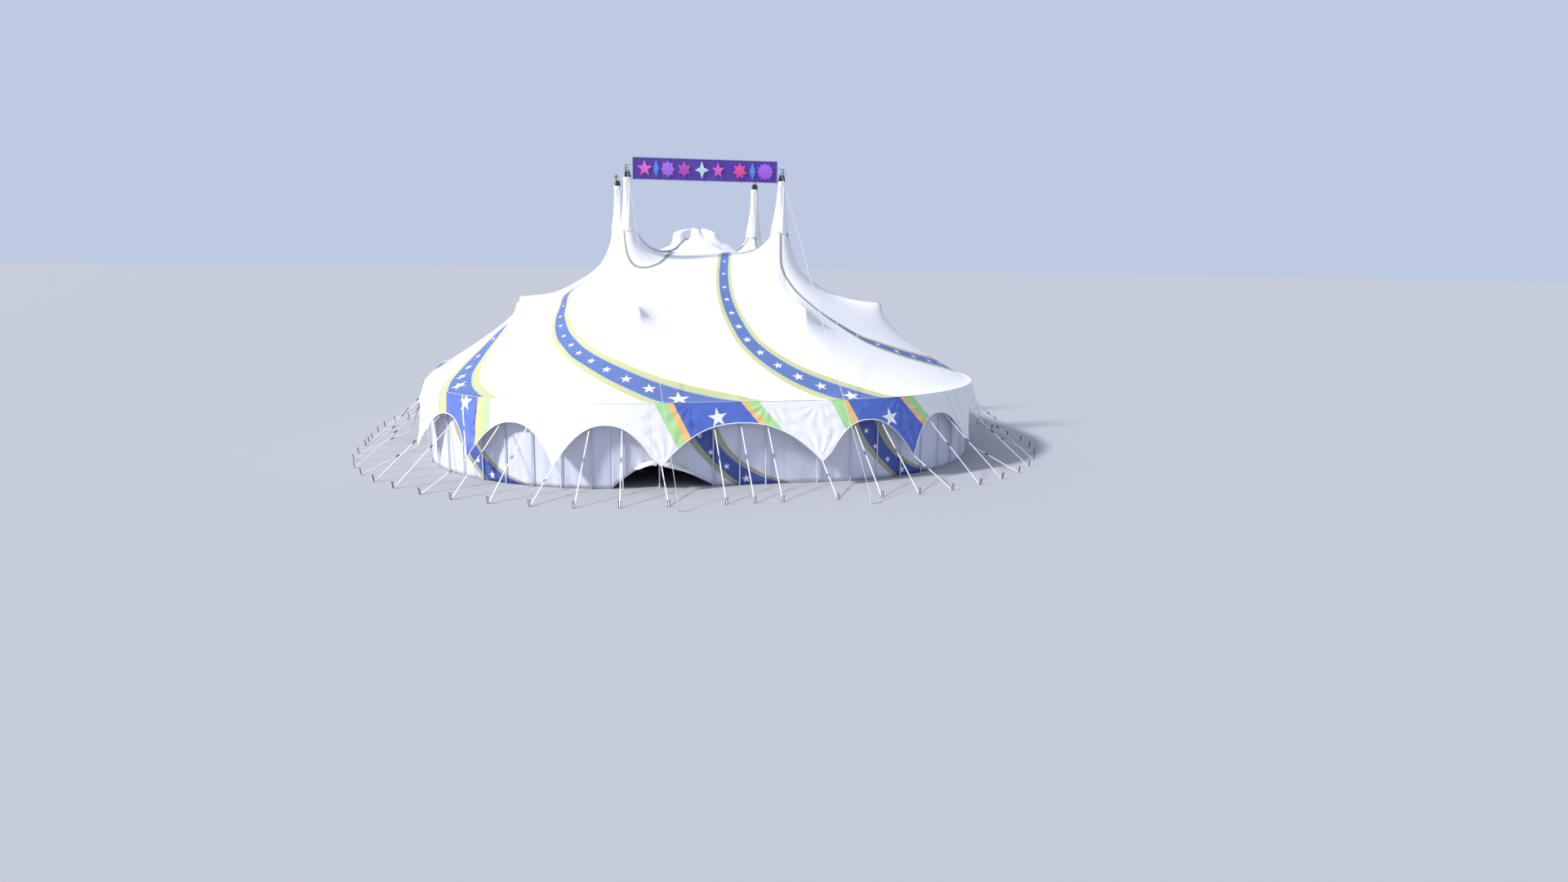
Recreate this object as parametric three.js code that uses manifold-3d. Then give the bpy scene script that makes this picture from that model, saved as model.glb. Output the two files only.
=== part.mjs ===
import * as THREE from 'three';
import { mergeVertices } from 'three/addons/utils/BufferGeometryUtils.js';
import Module from 'manifold-3d';

const wasm = await Module();
wasm.setup();

// Driving dimensions of the full-size tent, in millimetres. The whole group is then scaled by modelScale.
const modelScale = 0.5;
const mastX = 4770;            // king poles stand at plus and minus mastX, mastY
const mastY = 4350;
const mastTop = 16940;         // top of the pulley block's cap
const postTop = 17350;
const postOffset = 90;         // the post on a king pole's cap stands this far outwards
const postHalf = 25;
const sleeveTop = 16570;
const sleeveFoot = 13600;
const sleeveTopR = 248;
const collarZ = 13750;         // steel collar that hoists the canopy
const collarR = 400;
const skirtR = 560;            // where the canopy comes out from under the mast sleeve
const crownR = 1200;           // ring in the middle of the canopy
const crownZ = 12900;
const crownSegments = 24;
const ridgeLow = 12150;        // level that the ridge between king pole and crown sinks towards
const spurLow = 8960;          // level that the spur between king pole and quarter pole sinks towards
const spurStart = 1500;
const spurRise = 2040;         // how far the spur rises above that level at spurRiseAt, fading with spurFade
const spurRiseAt = 1340;
const spurFade = 1900;
const humpR = 6700;            // quarter poles, from the king pole's axis
const humpFootR = 7600;
const humpZ = 9080;
const humpCapR = 230;
const eaveR = 12150;           // eave line, from the king pole's axis
const eaveFlatR = 11990;       // flat hem that rests on the side poles
const eaveZ = 4500;
const tipR = 13150;            // points of the scalloped valance
const tipZ = 1340;
const archZ = 3400;            // top of each scallop
const archPower = 2.3;         // how square the scallops are
const wallInner = 11930;
const wallOuter = 11986;
const sidePoleR = 12050;
const sidePoleRadius = 38;
const anchorR = 16200;
const stayAnchorR = 17300;
const skin = 40;               // thickness given to the fabric
const gap = 0.6;               // clearance between pieces that touch
const gridStep = 150;          // pitch of the form-finding grid
const onLine = gridStep * 0.6; // grid points this near a line are held by it
const bayCount = 5;            // bays of one side: two narrow, one wide, two narrow
const bayEdges = [0, 1.03, 2.055, 2.945, 3.97, 5];
const baySweep = Math.PI / 8;  // a narrow bay turns a sixteenth round its king pole
const seam = 1.2e-4;           // part of a bay left open on each side of a seam
const startShift = 0.01;       // the first strap of a side stands this part of a bay in from the corner
const edgeSteps = 8;           // straight steps of the scalloped edge in each bay
const doorStart = 1.59;        // stations of the lifted curtain on the front side
const doorEnd = 2.36;
const doorPeak = 2.02;
const doorHeight = 1250;
const doorSteps = 12;          // straight steps of its lower edge in each bay
const strapWidth = 50;
const strapDepth = 14;
const strapFootZ = 10;
const signHalfLength = 4480;
const signLow = 16450;
const signHigh = 17780;

const colours = {
  canvas: 0xf2f1ee,
  wallCanvas: 0xd4d3dc,
  steel: 0x8d9196,
  strap: 0xe8e8ea,
  sign: 0x35248a,
};

const sideNames = ['front', 'right', 'back', 'left'];
const cornerNames = ['front_left', 'front_right', 'back_right', 'back_left'];
const cornerSigns = [[-1, -1], [1, -1], [1, 1], [-1, 1]];

const group = new THREE.Group();
group.name = 'big_top';

function addPiece(name, geometry, colour, roughness = 0.6, metalness = 0) {
  const material = new THREE.MeshStandardMaterial({ color: colour, roughness, metalness });
  const mesh = new THREE.Mesh(geometry, material);
  mesh.name = name;
  group.add(mesh);
}

// Booleans
function toManifold(geometry) {
  const bare = geometry.clone();
  for (const name of Object.keys(bare.attributes)) {
    if (name !== 'position') bare.deleteAttribute(name);
  }
  const merged = mergeVertices(bare, 1e-3);
  return new wasm.Manifold(new wasm.Mesh({
    numProp: 3,
    vertProperties: new Float32Array(merged.attributes.position.array),
    triVerts: new Uint32Array(merged.index.array),
  }));
}

function toGeometry(solid) {
  const mesh = solid.getMesh();
  const geometry = new THREE.BufferGeometry();
  geometry.setAttribute('position', new THREE.BufferAttribute(new Float32Array(mesh.vertProperties), 3));
  geometry.setIndex(new THREE.BufferAttribute(new Uint32Array(mesh.triVerts), 1));
  return geometry;
}

function fuse(geometries) {
  let solid = toManifold(geometries[0]);
  for (const other of geometries.slice(1)) solid = solid.add(toManifold(other));
  return toGeometry(solid);
}

// Shapes
function indexed(points, triangles) {
  const geometry = new THREE.BufferGeometry();
  geometry.setAttribute('position', new THREE.Float32BufferAttribute(points.flat(), 3));
  geometry.setIndex(triangles);
  return geometry;
}

function box(x0, x1, y0, y1, z0, z1) {
  const geometry = new THREE.BoxGeometry(x1 - x0, y1 - y0, z1 - z0);
  return geometry.translate((x0 + x1) / 2, (y0 + y1) / 2, (z0 + z1) / 2);
}

function rod(from, to, radius, sides = 8) {
  const a = new THREE.Vector3(...from);
  const b = new THREE.Vector3(...to);
  const direction = b.clone().sub(a);
  const geometry = new THREE.CylinderGeometry(radius, radius, direction.length(), sides);
  const turn = new THREE.Quaternion().setFromUnitVectors(new THREE.Vector3(0, 1, 0), direction.normalize());
  const middle = a.add(b).multiplyScalar(0.5);
  return geometry.applyQuaternion(turn).translate(middle.x, middle.y, middle.z);
}

// Closed bar through a row of sections that all have the same number of corners
function loft(sections) {
  const count = sections[0].length;
  const last = sections.length - 1;
  const triangles = [];
  for (let i = 0; i < last; i += 1) {
    for (let j = 0; j < count; j += 1) {
      const a = i * count + j;
      const b = i * count + ((j + 1) % count);
      triangles.push(a, b, b + count, a, b + count, a + count);
    }
  }
  for (let j = 1; j < count - 1; j += 1) {
    triangles.push(0, j + 1, j);
    triangles.push(last * count, last * count + j, last * count + j + 1);
  }
  return outward(indexed(sections.flat(), triangles));
}

// Outline of the tent: every side runs through stations 0 to 5, narrow bays round the king poles at each
// end and the wide bay between stations 2 and 3
function sidePoint(side, station, radius, z = 0) {
  const halfWidth = side % 2 ? mastY : mastX;
  const rowDistance = side % 2 ? mastX : mastY;
  let along = -halfWidth + 2 * halfWidth * (station - 2);
  let out = rowDistance + radius;
  if (station < 2) {
    const angle = (2 - station) * baySweep;
    along = -halfWidth - radius * Math.sin(angle);
    out = rowDistance + radius * Math.cos(angle);
  } else if (station > 3) {
    const angle = (station - 3) * baySweep;
    along = halfWidth + radius * Math.sin(angle);
    out = rowDistance + radius * Math.cos(angle);
  }
  const turn = side * Math.PI / 2;
  const x = along * Math.cos(turn) + out * Math.sin(turn);
  const y = along * Math.sin(turn) - out * Math.cos(turn);
  return [x, y, z];
}

// Station at a place counted in bays of the valance, whose wide bay is a little shorter than the row
function stationAt(bay) {
  const i = Math.min(Math.floor(bay), bayCount - 1);
  return bayEdges[i] + (bayEdges[i + 1] - bayEdges[i]) * (bay - i);
}

function bayPoint(side, bay, radius, z = 0) {
  return sidePoint(side, stationAt(bay), radius, z);
}

function outlineDistance(x, y) {
  const dx = Math.max(Math.abs(x) - mastX, 0);
  const dy = Math.max(Math.abs(y) - mastY, 0);
  return Math.hypot(dx, dy);
}

// Form finding: the stretched canopy is a soap film over its supports, solved on a quarter of the plan
function ridgeAt(fromMast) {
  const length = Math.hypot(mastX, mastY);
  const mastFade = 1000;
  const crownFade = 900;
  const towardsMast = (collarZ - ridgeLow) * Math.exp((collarR - fromMast) / mastFade);
  const towardsCrown = (crownZ - ridgeLow) * Math.exp((fromMast - length + crownR) / crownFade);
  return ridgeLow + towardsMast + towardsCrown;
}

// Spur of the canopy over the webbing from a king pole to each of its quarter poles
function spurHeight(x, y) {
  const alongX = Math.abs(y - mastY) < onLine ? x - mastX : 0;
  const alongY = Math.abs(x - mastX) < onLine ? y - mastY : 0;
  const fromMast = Math.max(alongX, alongY);
  if (fromMast < spurStart || fromMast > humpR) return null;
  return spurLow + spurRise * Math.exp((spurRiseAt - fromMast) / spurFade);
}

function ridgeHeight(x, y) {
  const length = Math.hypot(mastX, mastY);
  const t = Math.min(Math.max((Math.abs(x) * mastX + Math.abs(y) * mastY) / (length * length), 0), 1);
  const away = Math.hypot(Math.abs(x) - t * mastX, Math.abs(y) - t * mastY);
  return away > onLine ? null : ridgeAt(length * (1 - t));
}

function supportHeight(x, y) {
  if (outlineDistance(x, y) >= eaveFlatR) return eaveZ;
  if (Math.hypot(x, y) <= crownR) return crownZ;
  if (Math.hypot(x - mastX, y - mastY) <= collarR) return collarZ;
  if (Math.hypot(x - mastX - humpR, y - mastY) <= humpCapR) return humpZ;
  if (Math.hypot(x - mastX, y - mastY - humpR) <= humpCapR) return humpZ;
  return spurHeight(x, y) ?? ridgeHeight(x, y);
}

const columns = Math.ceil((mastX + eaveR) / gridStep) + 1;
const rows = Math.ceil((mastY + eaveR) / gridStep) + 1;
const film = new Float64Array(columns * rows);
const held = new Uint8Array(columns * rows);
for (let j = 0; j < rows; j += 1) {
  for (let i = 0; i < columns; i += 1) {
    const fixed = supportHeight(i * gridStep, j * gridStep);
    film[j * columns + i] = fixed === null ? humpZ : fixed;
    held[j * columns + i] = fixed === null ? 0 : 1;
  }
}
// Stretch of the film in each cell, so that it settles between a soap film and an even membrane
const cells = columns - 1;
const pull = new Float64Array(cells * (rows - 1)).fill(1);
const slackPower = -0.2;       // 0 gives an even membrane, -0.5 a soap film
function measurePull() {
  for (let j = 0; j < rows - 1; j += 1) {
    for (let i = 0; i < cells; i += 1) {
      const at = j * columns + i;
      const corners = [film[at], film[at + 1], film[at + columns], film[at + columns + 1]];
      const slopeX = (corners[1] - corners[0] + corners[3] - corners[2]) / (2 * gridStep);
      const slopeY = (corners[2] - corners[0] + corners[3] - corners[1]) / (2 * gridStep);
      pull[j * cells + i] = (1 + slopeX ** 2 + slopeY ** 2) ** slackPower;
    }
  }
}

const sweeps = 900;
const firstMeasure = 120;
const measureEvery = 20;
const overRelax = 1.8;
const cellOf = (i, j) => pull[Math.max(j, 0) * cells + Math.max(i, 0)];
for (let sweep = 0; sweep < sweeps; sweep += 1) {
  if (sweep >= firstMeasure && sweep % measureEvery === 0) measurePull();
  for (let j = 0; j < rows - 1; j += 1) {
    for (let i = 0; i < columns - 1; i += 1) {
      const at = j * columns + i;
      if (held[at]) continue;
      const southWest = cellOf(i - 1, j - 1);
      const southEast = cellOf(i, j - 1);
      const northWest = cellOf(i - 1, j);
      const northEast = cellOf(i, j);
      const west = film[j * columns + Math.abs(i - 1)] * (southWest + northWest);
      const east = film[at + 1] * (southEast + northEast);
      const south = film[Math.abs(j - 1) * columns + i] * (southWest + southEast);
      const north = film[at + columns] * (northWest + northEast);
      const total = 2 * (southWest + southEast + northWest + northEast);
      film[at] += overRelax * ((west + east + south + north) / total - film[at]);
    }
  }
}

function canopyHeight(x, y) {
  const ax = Math.abs(x);
  const ay = Math.abs(y);
  if (outlineDistance(x, y) >= eaveFlatR - 1) return eaveZ;
  const toMast = Math.hypot(ax - mastX, ay - mastY);
  if (toMast <= collarR + 1) return collarZ;
  if (Math.hypot(ax, ay) <= crownR + 1) return crownZ;
  const u = Math.min(ax / gridStep, columns - 1.001);
  const v = Math.min(ay / gridStep, rows - 1.001);
  const i = Math.floor(u);
  const j = Math.floor(v);
  const at = j * columns + i;
  const low = film[at] * (1 - u + i) + film[at + 1] * (u - i);
  const high = film[at + columns] * (1 - u + i) + film[at + columns + 1] * (u - i);
  return low * (1 - v + j) + high * (v - j);
}

function valanceHeight(x, y) {
  const along = (outlineDistance(x, y) - eaveR) / (tipR - eaveR);
  return eaveZ - (eaveZ - tipZ) * Math.max(along, 0);
}

// Fabric shell over a set of plan quads, with its underside one skin below, or more where it is steep
const roundTo = 0.05;
const steepest = 2.5;
function fabricShell(quads, heightAt) {
  const keys = new Map();
  const plan = [];
  const triangles = [];
  const keyOf = ([x, y]) => {
    const key = `${Math.round(x / roundTo)},${Math.round(y / roundTo)}`;
    if (!keys.has(key)) {
      keys.set(key, plan.length);
      plan.push([x, y]);
    }
    return keys.get(key);
  };
  for (const quad of quads) {
    const [a, b, c, d] = quad.map(keyOf);
    if (new Set([a, b, c]).size === 3) triangles.push([a, b, c]);
    if (new Set([a, c, d]).size === 3) triangles.push([a, c, d]);
  }
  const edges = new Map();
  for (const triangle of triangles) {
    for (let k = 0; k < 3; k += 1) edges.set(`${triangle[k]},${triangle[(k + 1) % 3]}`, 1);
  }
  const probe = 5;
  const points = plan.map(([x, y]) => [x, y, heightAt(x, y)]);
  for (const [x, y] of plan) {
    const slopeX = (heightAt(x + probe, y) - heightAt(x - probe, y)) / (2 * probe);
    const slopeY = (heightAt(x, y + probe) - heightAt(x, y - probe)) / (2 * probe);
    const onHem = Math.abs(outlineDistance(x, y) - (eaveR + eaveFlatR) / 2) < eaveR - eaveFlatR;
    const depth = onHem ? skin : skin * Math.min(Math.hypot(1, slopeX, slopeY), steepest);
    points.push([x, y, heightAt(x, y) - depth]);
  }
  const count = plan.length;
  const faces = [];
  for (const [a, b, c] of triangles) {
    faces.push(a, b, c);
    faces.push(a + count, c + count, b + count);
  }
  for (const key of edges.keys()) {
    const [a, b] = key.split(',').map(Number);
    if (!edges.has(`${b},${a}`)) faces.push(a, a + count, b + count, a, b + count, b);
  }
  return indexed(points, faces);
}

// Shares of the way from the skirt to the hem at which the rings of a fan lie. Two of them pass over and
// just beyond the quarter poles.
const humpShare = (humpR - skirtR) / (eaveFlatR - skirtR);
const outerShares = [0, 0.03, 0.08, 0.18, 0.34, humpShare, humpShare + 0.04, 0.78, 1];
const innerShares = [0, 0.06, 0.18, 0.42, 0.7, 1];

// Plan quads of a fan round a king pole, between headings, out to the hem and then to the eave
function fan(headings, limitOf, shares) {
  const last = shares.length - 1;
  const ringAt = (heading, k) => {
    const limit = limitOf(heading, k > last ? eaveR : eaveFlatR);
    const radius = k < 0 ? collarR : skirtR + (limit - skirtR) * shares[Math.min(k, last)];
    return [mastX + radius * Math.cos(heading), mastY + radius * Math.sin(heading)];
  };
  const quads = [];
  for (let h = 0; h < headings.length - 1; h += 1) {
    for (let k = -1; k <= last; k += 1) {
      quads.push([
        ringAt(headings[h], k), ringAt(headings[h], k + 1),
        ringAt(headings[h + 1], k + 1), ringAt(headings[h + 1], k),
      ]);
    }
  }
  return quads;
}

function headingsBetween(start, end, steps, extra = []) {
  const tooClose = 0.03;
  const list = [];
  for (let i = 0; i <= steps; i += 1) list.push(start + (end - start) * i / steps);
  const kept = list.filter((angle) => extra.every((corner) => Math.abs(angle - corner) > tooClose));
  return [...kept, ...extra].sort((a, b) => a - b);
}

function mirrored(quads, signX, signY) {
  const placed = quads.map((quad) => quad.map(([x, y]) => [x * signX, y * signY]));
  return signX * signY < 0 ? placed.map((quad) => [...quad].reverse()) : placed;
}

function trimmed(quads, limitX, limitY) {
  return quads.map((quad) => quad.map(([x, y]) => [
    Math.min(Math.max(x, -limitX), limitX),
    Math.min(Math.max(y, -limitY), limitY),
  ]));
}

// Canopy
function addCanopy() {
  const quarterTurn = Math.PI / 2;
  const cornerFans = 16;
  const sideFans = 7;
  const middleFans = 8;
  const corner = fan(headingsBetween(0, quarterTurn, cornerFans), (heading, reach) => reach, outerShares);
  const cornerFlat = corner.map((quad) => quad.map(([x, y]) => [
    Math.max(x, mastX + gap),
    Math.max(y, mastY + gap),
  ]));
  cornerSigns.forEach(([signX, signY], i) => {
    addPiece(`canopy_corner_${cornerNames[i]}`, fabricShell(mirrored(cornerFlat, signX, signY), canopyHeight),
      colours.canvas);
  });

  const backTurn = Math.atan2(eaveR, -mastX);
  const backLimit = (heading, reach) => Math.min(
    mastX / Math.max(-Math.cos(heading), 1e-9),
    reach / Math.max(Math.sin(heading), 1e-9),
  );
  const back = fan(headingsBetween(quarterTurn, Math.PI, sideFans, [backTurn]), backLimit, outerShares);
  const sideTurn = Math.atan2(-mastY, eaveR);
  const sideLimit = (heading, reach) => Math.min(
    reach / Math.max(Math.cos(heading), 1e-9),
    mastY / Math.max(-Math.sin(heading), 1e-9),
  );
  const right = fan(headingsBetween(-quarterTurn, 0, sideFans, [sideTurn]), sideLimit, outerShares);
  const bothBack = [...mirrored(back, 1, 1), ...mirrored(back, -1, 1)];
  const bothRight = [...mirrored(right, 1, 1), ...mirrored(right, 1, -1)];
  const backFlat = trimmed(bothBack, mastX - gap, Infinity)
    .map((quad) => quad.map(([x, y]) => [x, Math.max(y, mastY + gap)]));
  const rightFlat = trimmed(bothRight, Infinity, mastY - gap)
    .map((quad) => quad.map(([x, y]) => [Math.max(x, mastX + gap), y]));
  addPiece('canopy_front', fabricShell(mirrored(backFlat, 1, -1), canopyHeight), colours.canvas);
  addPiece('canopy_right', fabricShell(rightFlat, canopyHeight), colours.canvas);
  addPiece('canopy_back', fabricShell(backFlat, canopyHeight), colours.canvas);
  addPiece('canopy_left', fabricShell(mirrored(rightFlat, -1, 1), canopyHeight), colours.canvas);

  // The middle section stops at the crown ring
  const diagonal = Math.atan2(-mastY, -mastX) + 2 * Math.PI;
  const reach = Math.hypot(mastX, mastY);
  const spread = Math.asin(crownR / reach);
  const middleLimit = (heading) => {
    const toX = mastX / Math.max(-Math.cos(heading), 1e-9);
    const toY = mastY / Math.max(-Math.sin(heading), 1e-9);
    const off = heading - diagonal;
    const straight = Math.min(toX, toY);
    if (Math.abs(off) >= spread) return straight;
    const hit = reach * Math.cos(off) - Math.sqrt(crownR ** 2 - (reach * Math.sin(off)) ** 2);
    return Math.min(straight, hit);
  };
  const towardsRing = [];
  for (let k = 0; k <= crownSegments / 4; k += 1) {
    const around = 2 * Math.PI * k / crownSegments;
    const ringX = crownR * Math.cos(around);
    const ringY = crownR * Math.sin(around);
    towardsRing.push(Math.atan2(ringY - mastY, ringX - mastX) + 2 * Math.PI);
  }
  const headings = headingsBetween(Math.PI, 1.5 * Math.PI, middleFans, towardsRing);
  const middle = fan(headings, middleLimit, innerShares);
  const quads = cornerSigns.flatMap(([signX, signY]) => mirrored(middle, signX, signY));
  addPiece('canopy_middle', fabricShell(trimmed(quads, mastX - gap, mastY - gap), canopyHeight),
    colours.canvas);
}

// Valance
function scallopAt(bay) {
  const i = Math.min(Math.floor(bay), bayCount - 1);
  const across = Math.abs(2 * (bay - i) - 1);
  return tipZ + (archZ - tipZ) * (1 - across ** archPower);
}

function scallopRadius(bay) {
  return eaveR + (tipR - eaveR) * (eaveZ - scallopAt(bay)) / (eaveZ - tipZ);
}

function stepsBetween(start, end, stepsPerBay) {
  const list = [start];
  for (let i = Math.floor(start * stepsPerBay) + 1; i / stepsPerBay < end - 1e-6; i += 1) {
    list.push(i / stepsPerBay);
  }
  list.push(end);
  return list;
}

function addValance(side) {
  const bays = stepsBetween(seam, bayCount - seam, edgeSteps);
  const halfStep = bayEdges[1] * baySweep / edgeSteps / 2;
  const inner = (eaveR + gap) / Math.cos(halfStep);
  const quads = [];
  for (let i = 0; i < bays.length - 1; i += 1) {
    const [from, to] = [bays[i], bays[i + 1]];
    const corners = [
      bayPoint(side, from, inner), bayPoint(side, from, scallopRadius(from)),
      bayPoint(side, to, scallopRadius(to)), bayPoint(side, to, inner),
    ];
    quads.push(corners.map(([x, y]) => [x, y]));
  }
  addPiece(`valance_${sideNames[side]}`, fabricShell(quads, valanceHeight), colours.canvas);
}

// Walls
function curtain(side, start, end, footOf, steps = 6) {
  const top = eaveZ - skin - gap;
  const sections = stepsBetween(start, end, steps).map((station) => {
    const foot = footOf(station);
    return [
      sidePoint(side, station, wallOuter, foot),
      sidePoint(side, station, wallOuter, top),
      sidePoint(side, station, wallInner, top),
      sidePoint(side, station, wallInner, foot),
    ];
  });
  return loft(sections);
}

function doorFoot(station) {
  const half = station < doorPeak ? doorPeak - doorStart : doorEnd - doorPeak;
  const t = Math.min(Math.abs(station - doorPeak) / half, 1);
  return doorHeight * (1 - t ** 1.5);
}

// Rolled hem of the lifted curtain, spread outwards over the doorway on each side of its side pole
function addDoorwayAwning(name, stations, reachLeft, reachRight) {
  const last = stations.length - 1;
  const rise = 120;
  const slope = 60;
  const lip = 50;
  const sections = stations.map((station, i) => {
    const reach = reachLeft + (reachRight - reachLeft) * i / last;
    const z = doorFoot(station) + rise;
    return [
      sidePoint(0, station, wallOuter + gap, z),
      sidePoint(0, station, wallOuter + reach, z - slope),
      sidePoint(0, station, wallOuter + reach, z - slope + lip),
      sidePoint(0, station, wallOuter + gap, z + slope),
    ];
  });
  addPiece(name, loft(sections), colours.canvas);
}

function addWalls() {
  const ground = () => 0;
  addPiece('wall_front_left', curtain(0, seam, doorStart - seam, ground), colours.wallCanvas);
  addPiece('wall_over_doorway', curtain(0, doorStart, doorEnd, doorFoot, doorSteps), colours.wallCanvas);
  addPiece('wall_front_right', curtain(0, doorEnd + seam, bayCount - seam, ground), colours.wallCanvas);
  for (const side of [1, 2, 3]) {
    addPiece(`wall_${sideNames[side]}`, curtain(side, seam, bayCount - seam, ground), colours.wallCanvas);
  }
}

// Side poles with the rail under the hem, and the guys that run from their heads to the stakes
const guyBays = [1 / 3, 2 / 3, 4 / 3, 5 / 3, 7 / 3, 2.5, 8 / 3, 10 / 3, 11 / 3, 13 / 3, 14 / 3];
const guyZ = 3500;             // where the guys are tied to the side poles, low enough to clear the valance
const tipBays = [0, 1, 2, 3, 4];

function strap(from, to, width, depth) {
  const a = new THREE.Vector3(...from);
  const b = new THREE.Vector3(...to);
  const run = b.clone().sub(a);
  const across = new THREE.Vector3(-run.y, run.x, 0).normalize().multiplyScalar(width / 2);
  const up = across.clone().cross(run).normalize().multiplyScalar(depth / 2);
  const corner = (point, i, j) => point.clone().addScaledVector(across, i).addScaledVector(up, j).toArray();
  const ring = (point) => [[-1, -1], [1, -1], [1, 1], [-1, 1]].map(([i, j]) => corner(point, i, j));
  return loft([ring(b), ring(a)]);
}

function addSidePoles(side) {
  const top = eaveZ - skin - gap;
  const railDrop = 50;
  const railHalf = 22;
  const railEnd = bayCount - 0.02;
  const railSteps = 4;
  const headDrop = 10;
  const railSections = stepsBetween(0, railEnd, railSteps).map((bay) => [
    bayPoint(side, bay, sidePoleR + railHalf, top - railDrop),
    bayPoint(side, bay, sidePoleR + railHalf, top),
    bayPoint(side, bay, sidePoleR - railHalf, top),
    bayPoint(side, bay, sidePoleR - railHalf, top - railDrop),
  ]);
  const parts = [loft(railSections)];
  for (const bay of [...tipBays, ...guyBays]) {
    const foot = bayPoint(side, bay, sidePoleR, 0);
    const head = bayPoint(side, bay, sidePoleR, top - headDrop);
    parts.push(rod(foot, head, sidePoleRadius, 4));
  }
  for (const bay of guyBays) {
    parts.push(strap(
      bayPoint(side, bay, sidePoleR, guyZ),
      bayPoint(side, bay, anchorR, strapFootZ),
      strapWidth, strapDepth,
    ));
  }
  addPiece(`side_poles_${sideNames[side]}`, fuse(parts), colours.steel, 0.45, 0.6);
}

// Webbing along the scallops, with a strap at every point
function edgeAt(bay) {
  const i = Math.floor(bay * edgeSteps);
  const share = bay * edgeSteps - i;
  const from = i / edgeSteps;
  const to = (i + 1) / edgeSteps;
  return [
    scallopRadius(from) * (1 - share) + scallopRadius(to) * share,
    scallopAt(from) * (1 - share) + scallopAt(to) * share,
  ];
}

function addEdgeWebbing(side) {
  const half = 26;
  const drop = 10;
  const sections = stepsBetween(seam, bayCount - seam, edgeSteps).map((bay) => {
    const radius = scallopRadius(bay) + gap;
    const z = scallopAt(bay) - drop;
    return [
      bayPoint(side, bay, radius + half, z - half),
      bayPoint(side, bay, radius + half, z + half),
      bayPoint(side, bay, radius, z + half),
      bayPoint(side, bay, radius, z - half),
    ];
  });
  const parts = [loft(sections)];
  for (const bay of tipBays) {
    const at = Math.max(bay, startShift);
    const [radius, z] = edgeAt(at);
    parts.push(strap(
      bayPoint(side, at, radius + strapDepth, z - drop),
      bayPoint(side, at, anchorR, strapFootZ),
      strapWidth, strapDepth,
    ));
  }
  addPiece(`edge_webbing_${sideNames[side]}`, fuse(parts), colours.strap, 0.8);
}

// King poles: square lattice, collar for the canopy and pulley block on top
function addKingPole(name, signX, signY) {
  const x = signX * mastX;
  const y = signY * mastY;
  const footHalf = 450;
  const half = 150;            // from the axis to the chords
  const chord = 21;
  const frameHalf = 14;
  const frameHeight = 36;
  const frameStagger = 4;
  const latticeTop = sleeveTop - 50;
  const parts = [box(x - footHalf, x + footHalf, y - footHalf, y + footHalf, 0, 30)];
  for (const [i, j] of cornerSigns) {
    const cx = x + i * half;
    const cy = y + j * half;
    parts.push(box(cx - chord, cx + chord, cy - chord, cy + chord, 20, latticeTop));
  }
  const frameCount = 4;
  const firstFrame = 500;
  for (let k = 0; k < frameCount; k += 1) {
    const low = firstFrame + k * (latticeTop - firstFrame - 100) / (frameCount - 1);
    const high = low + frameHeight;
    for (const sign of [-1, 1]) {
      const side = sign * half;
      parts.push(box(x - half, x + half, y + side - frameHalf, y + side + frameHalf, low, high));
      parts.push(box(x + side - frameHalf, x + side + frameHalf, y - half, y + half,
        low + frameStagger, high + frameStagger));
    }
  }
  const plateHeight = 60;
  const collarFit = collarR - 3.5;
  const collar = new THREE.CylinderGeometry(collarFit, collarFit, plateHeight, 24);
  parts.push(collar.rotateX(Math.PI / 2).translate(x, y, collarZ - 50));
  const plateRadius = sleeveTopR - 5.4;
  const plate = new THREE.CylinderGeometry(plateRadius, plateRadius, plateHeight, 12);
  parts.push(plate.rotateX(Math.PI / 2).translate(x, y, sleeveTop - plateHeight / 2));

  const blockX = 90;
  const blockY = 110;
  const capX = 140;
  const capY = 60;
  const capHeight = 120;
  const blockTop = mastTop - 100;
  parts.push(box(x - blockX, x + blockX, y - blockY, y + blockY, sleeveTop - 20, blockTop));
  const pulleyZ = mastTop - 240;
  const pulleyOut = 120;
  const pulleyHalf = 60;
  const pulleyRadius = 90;
  for (const sign of [-1, 1]) {
    const pulleyY = y + sign * pulleyOut;
    parts.push(rod([x - pulleyHalf, pulleyY, pulleyZ], [x + pulleyHalf, pulleyY, pulleyZ], pulleyRadius, 10));
  }
  parts.push(box(x - capX, x + capX, y - capY, y + capY, mastTop - capHeight, mastTop));
  const postX = x + signX * postOffset;
  parts.push(box(postX - postHalf, postX + postHalf, y - postHalf, y + postHalf, mastTop - 20, postTop));
  addPiece(`king_pole_${name}`, fuse(parts), colours.steel, 0.4, 0.7);
}

function addSleeve(name, signX, signY) {
  const wall = 24;
  const inside = [
    [510, sleeveFoot], [370, sleeveFoot + 700], [290, sleeveFoot + 1400], [sleeveTopR, sleeveTop],
  ];
  const outside = inside.map(([radius, z]) => [radius + wall, z]).reverse();
  const sleeve = lathed([...inside, ...outside, inside[0]], 16);
  addPiece(`mast_sleeve_${name}`, sleeve.translate(signX * mastX, signY * mastY, 0), colours.canvas);
}

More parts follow.
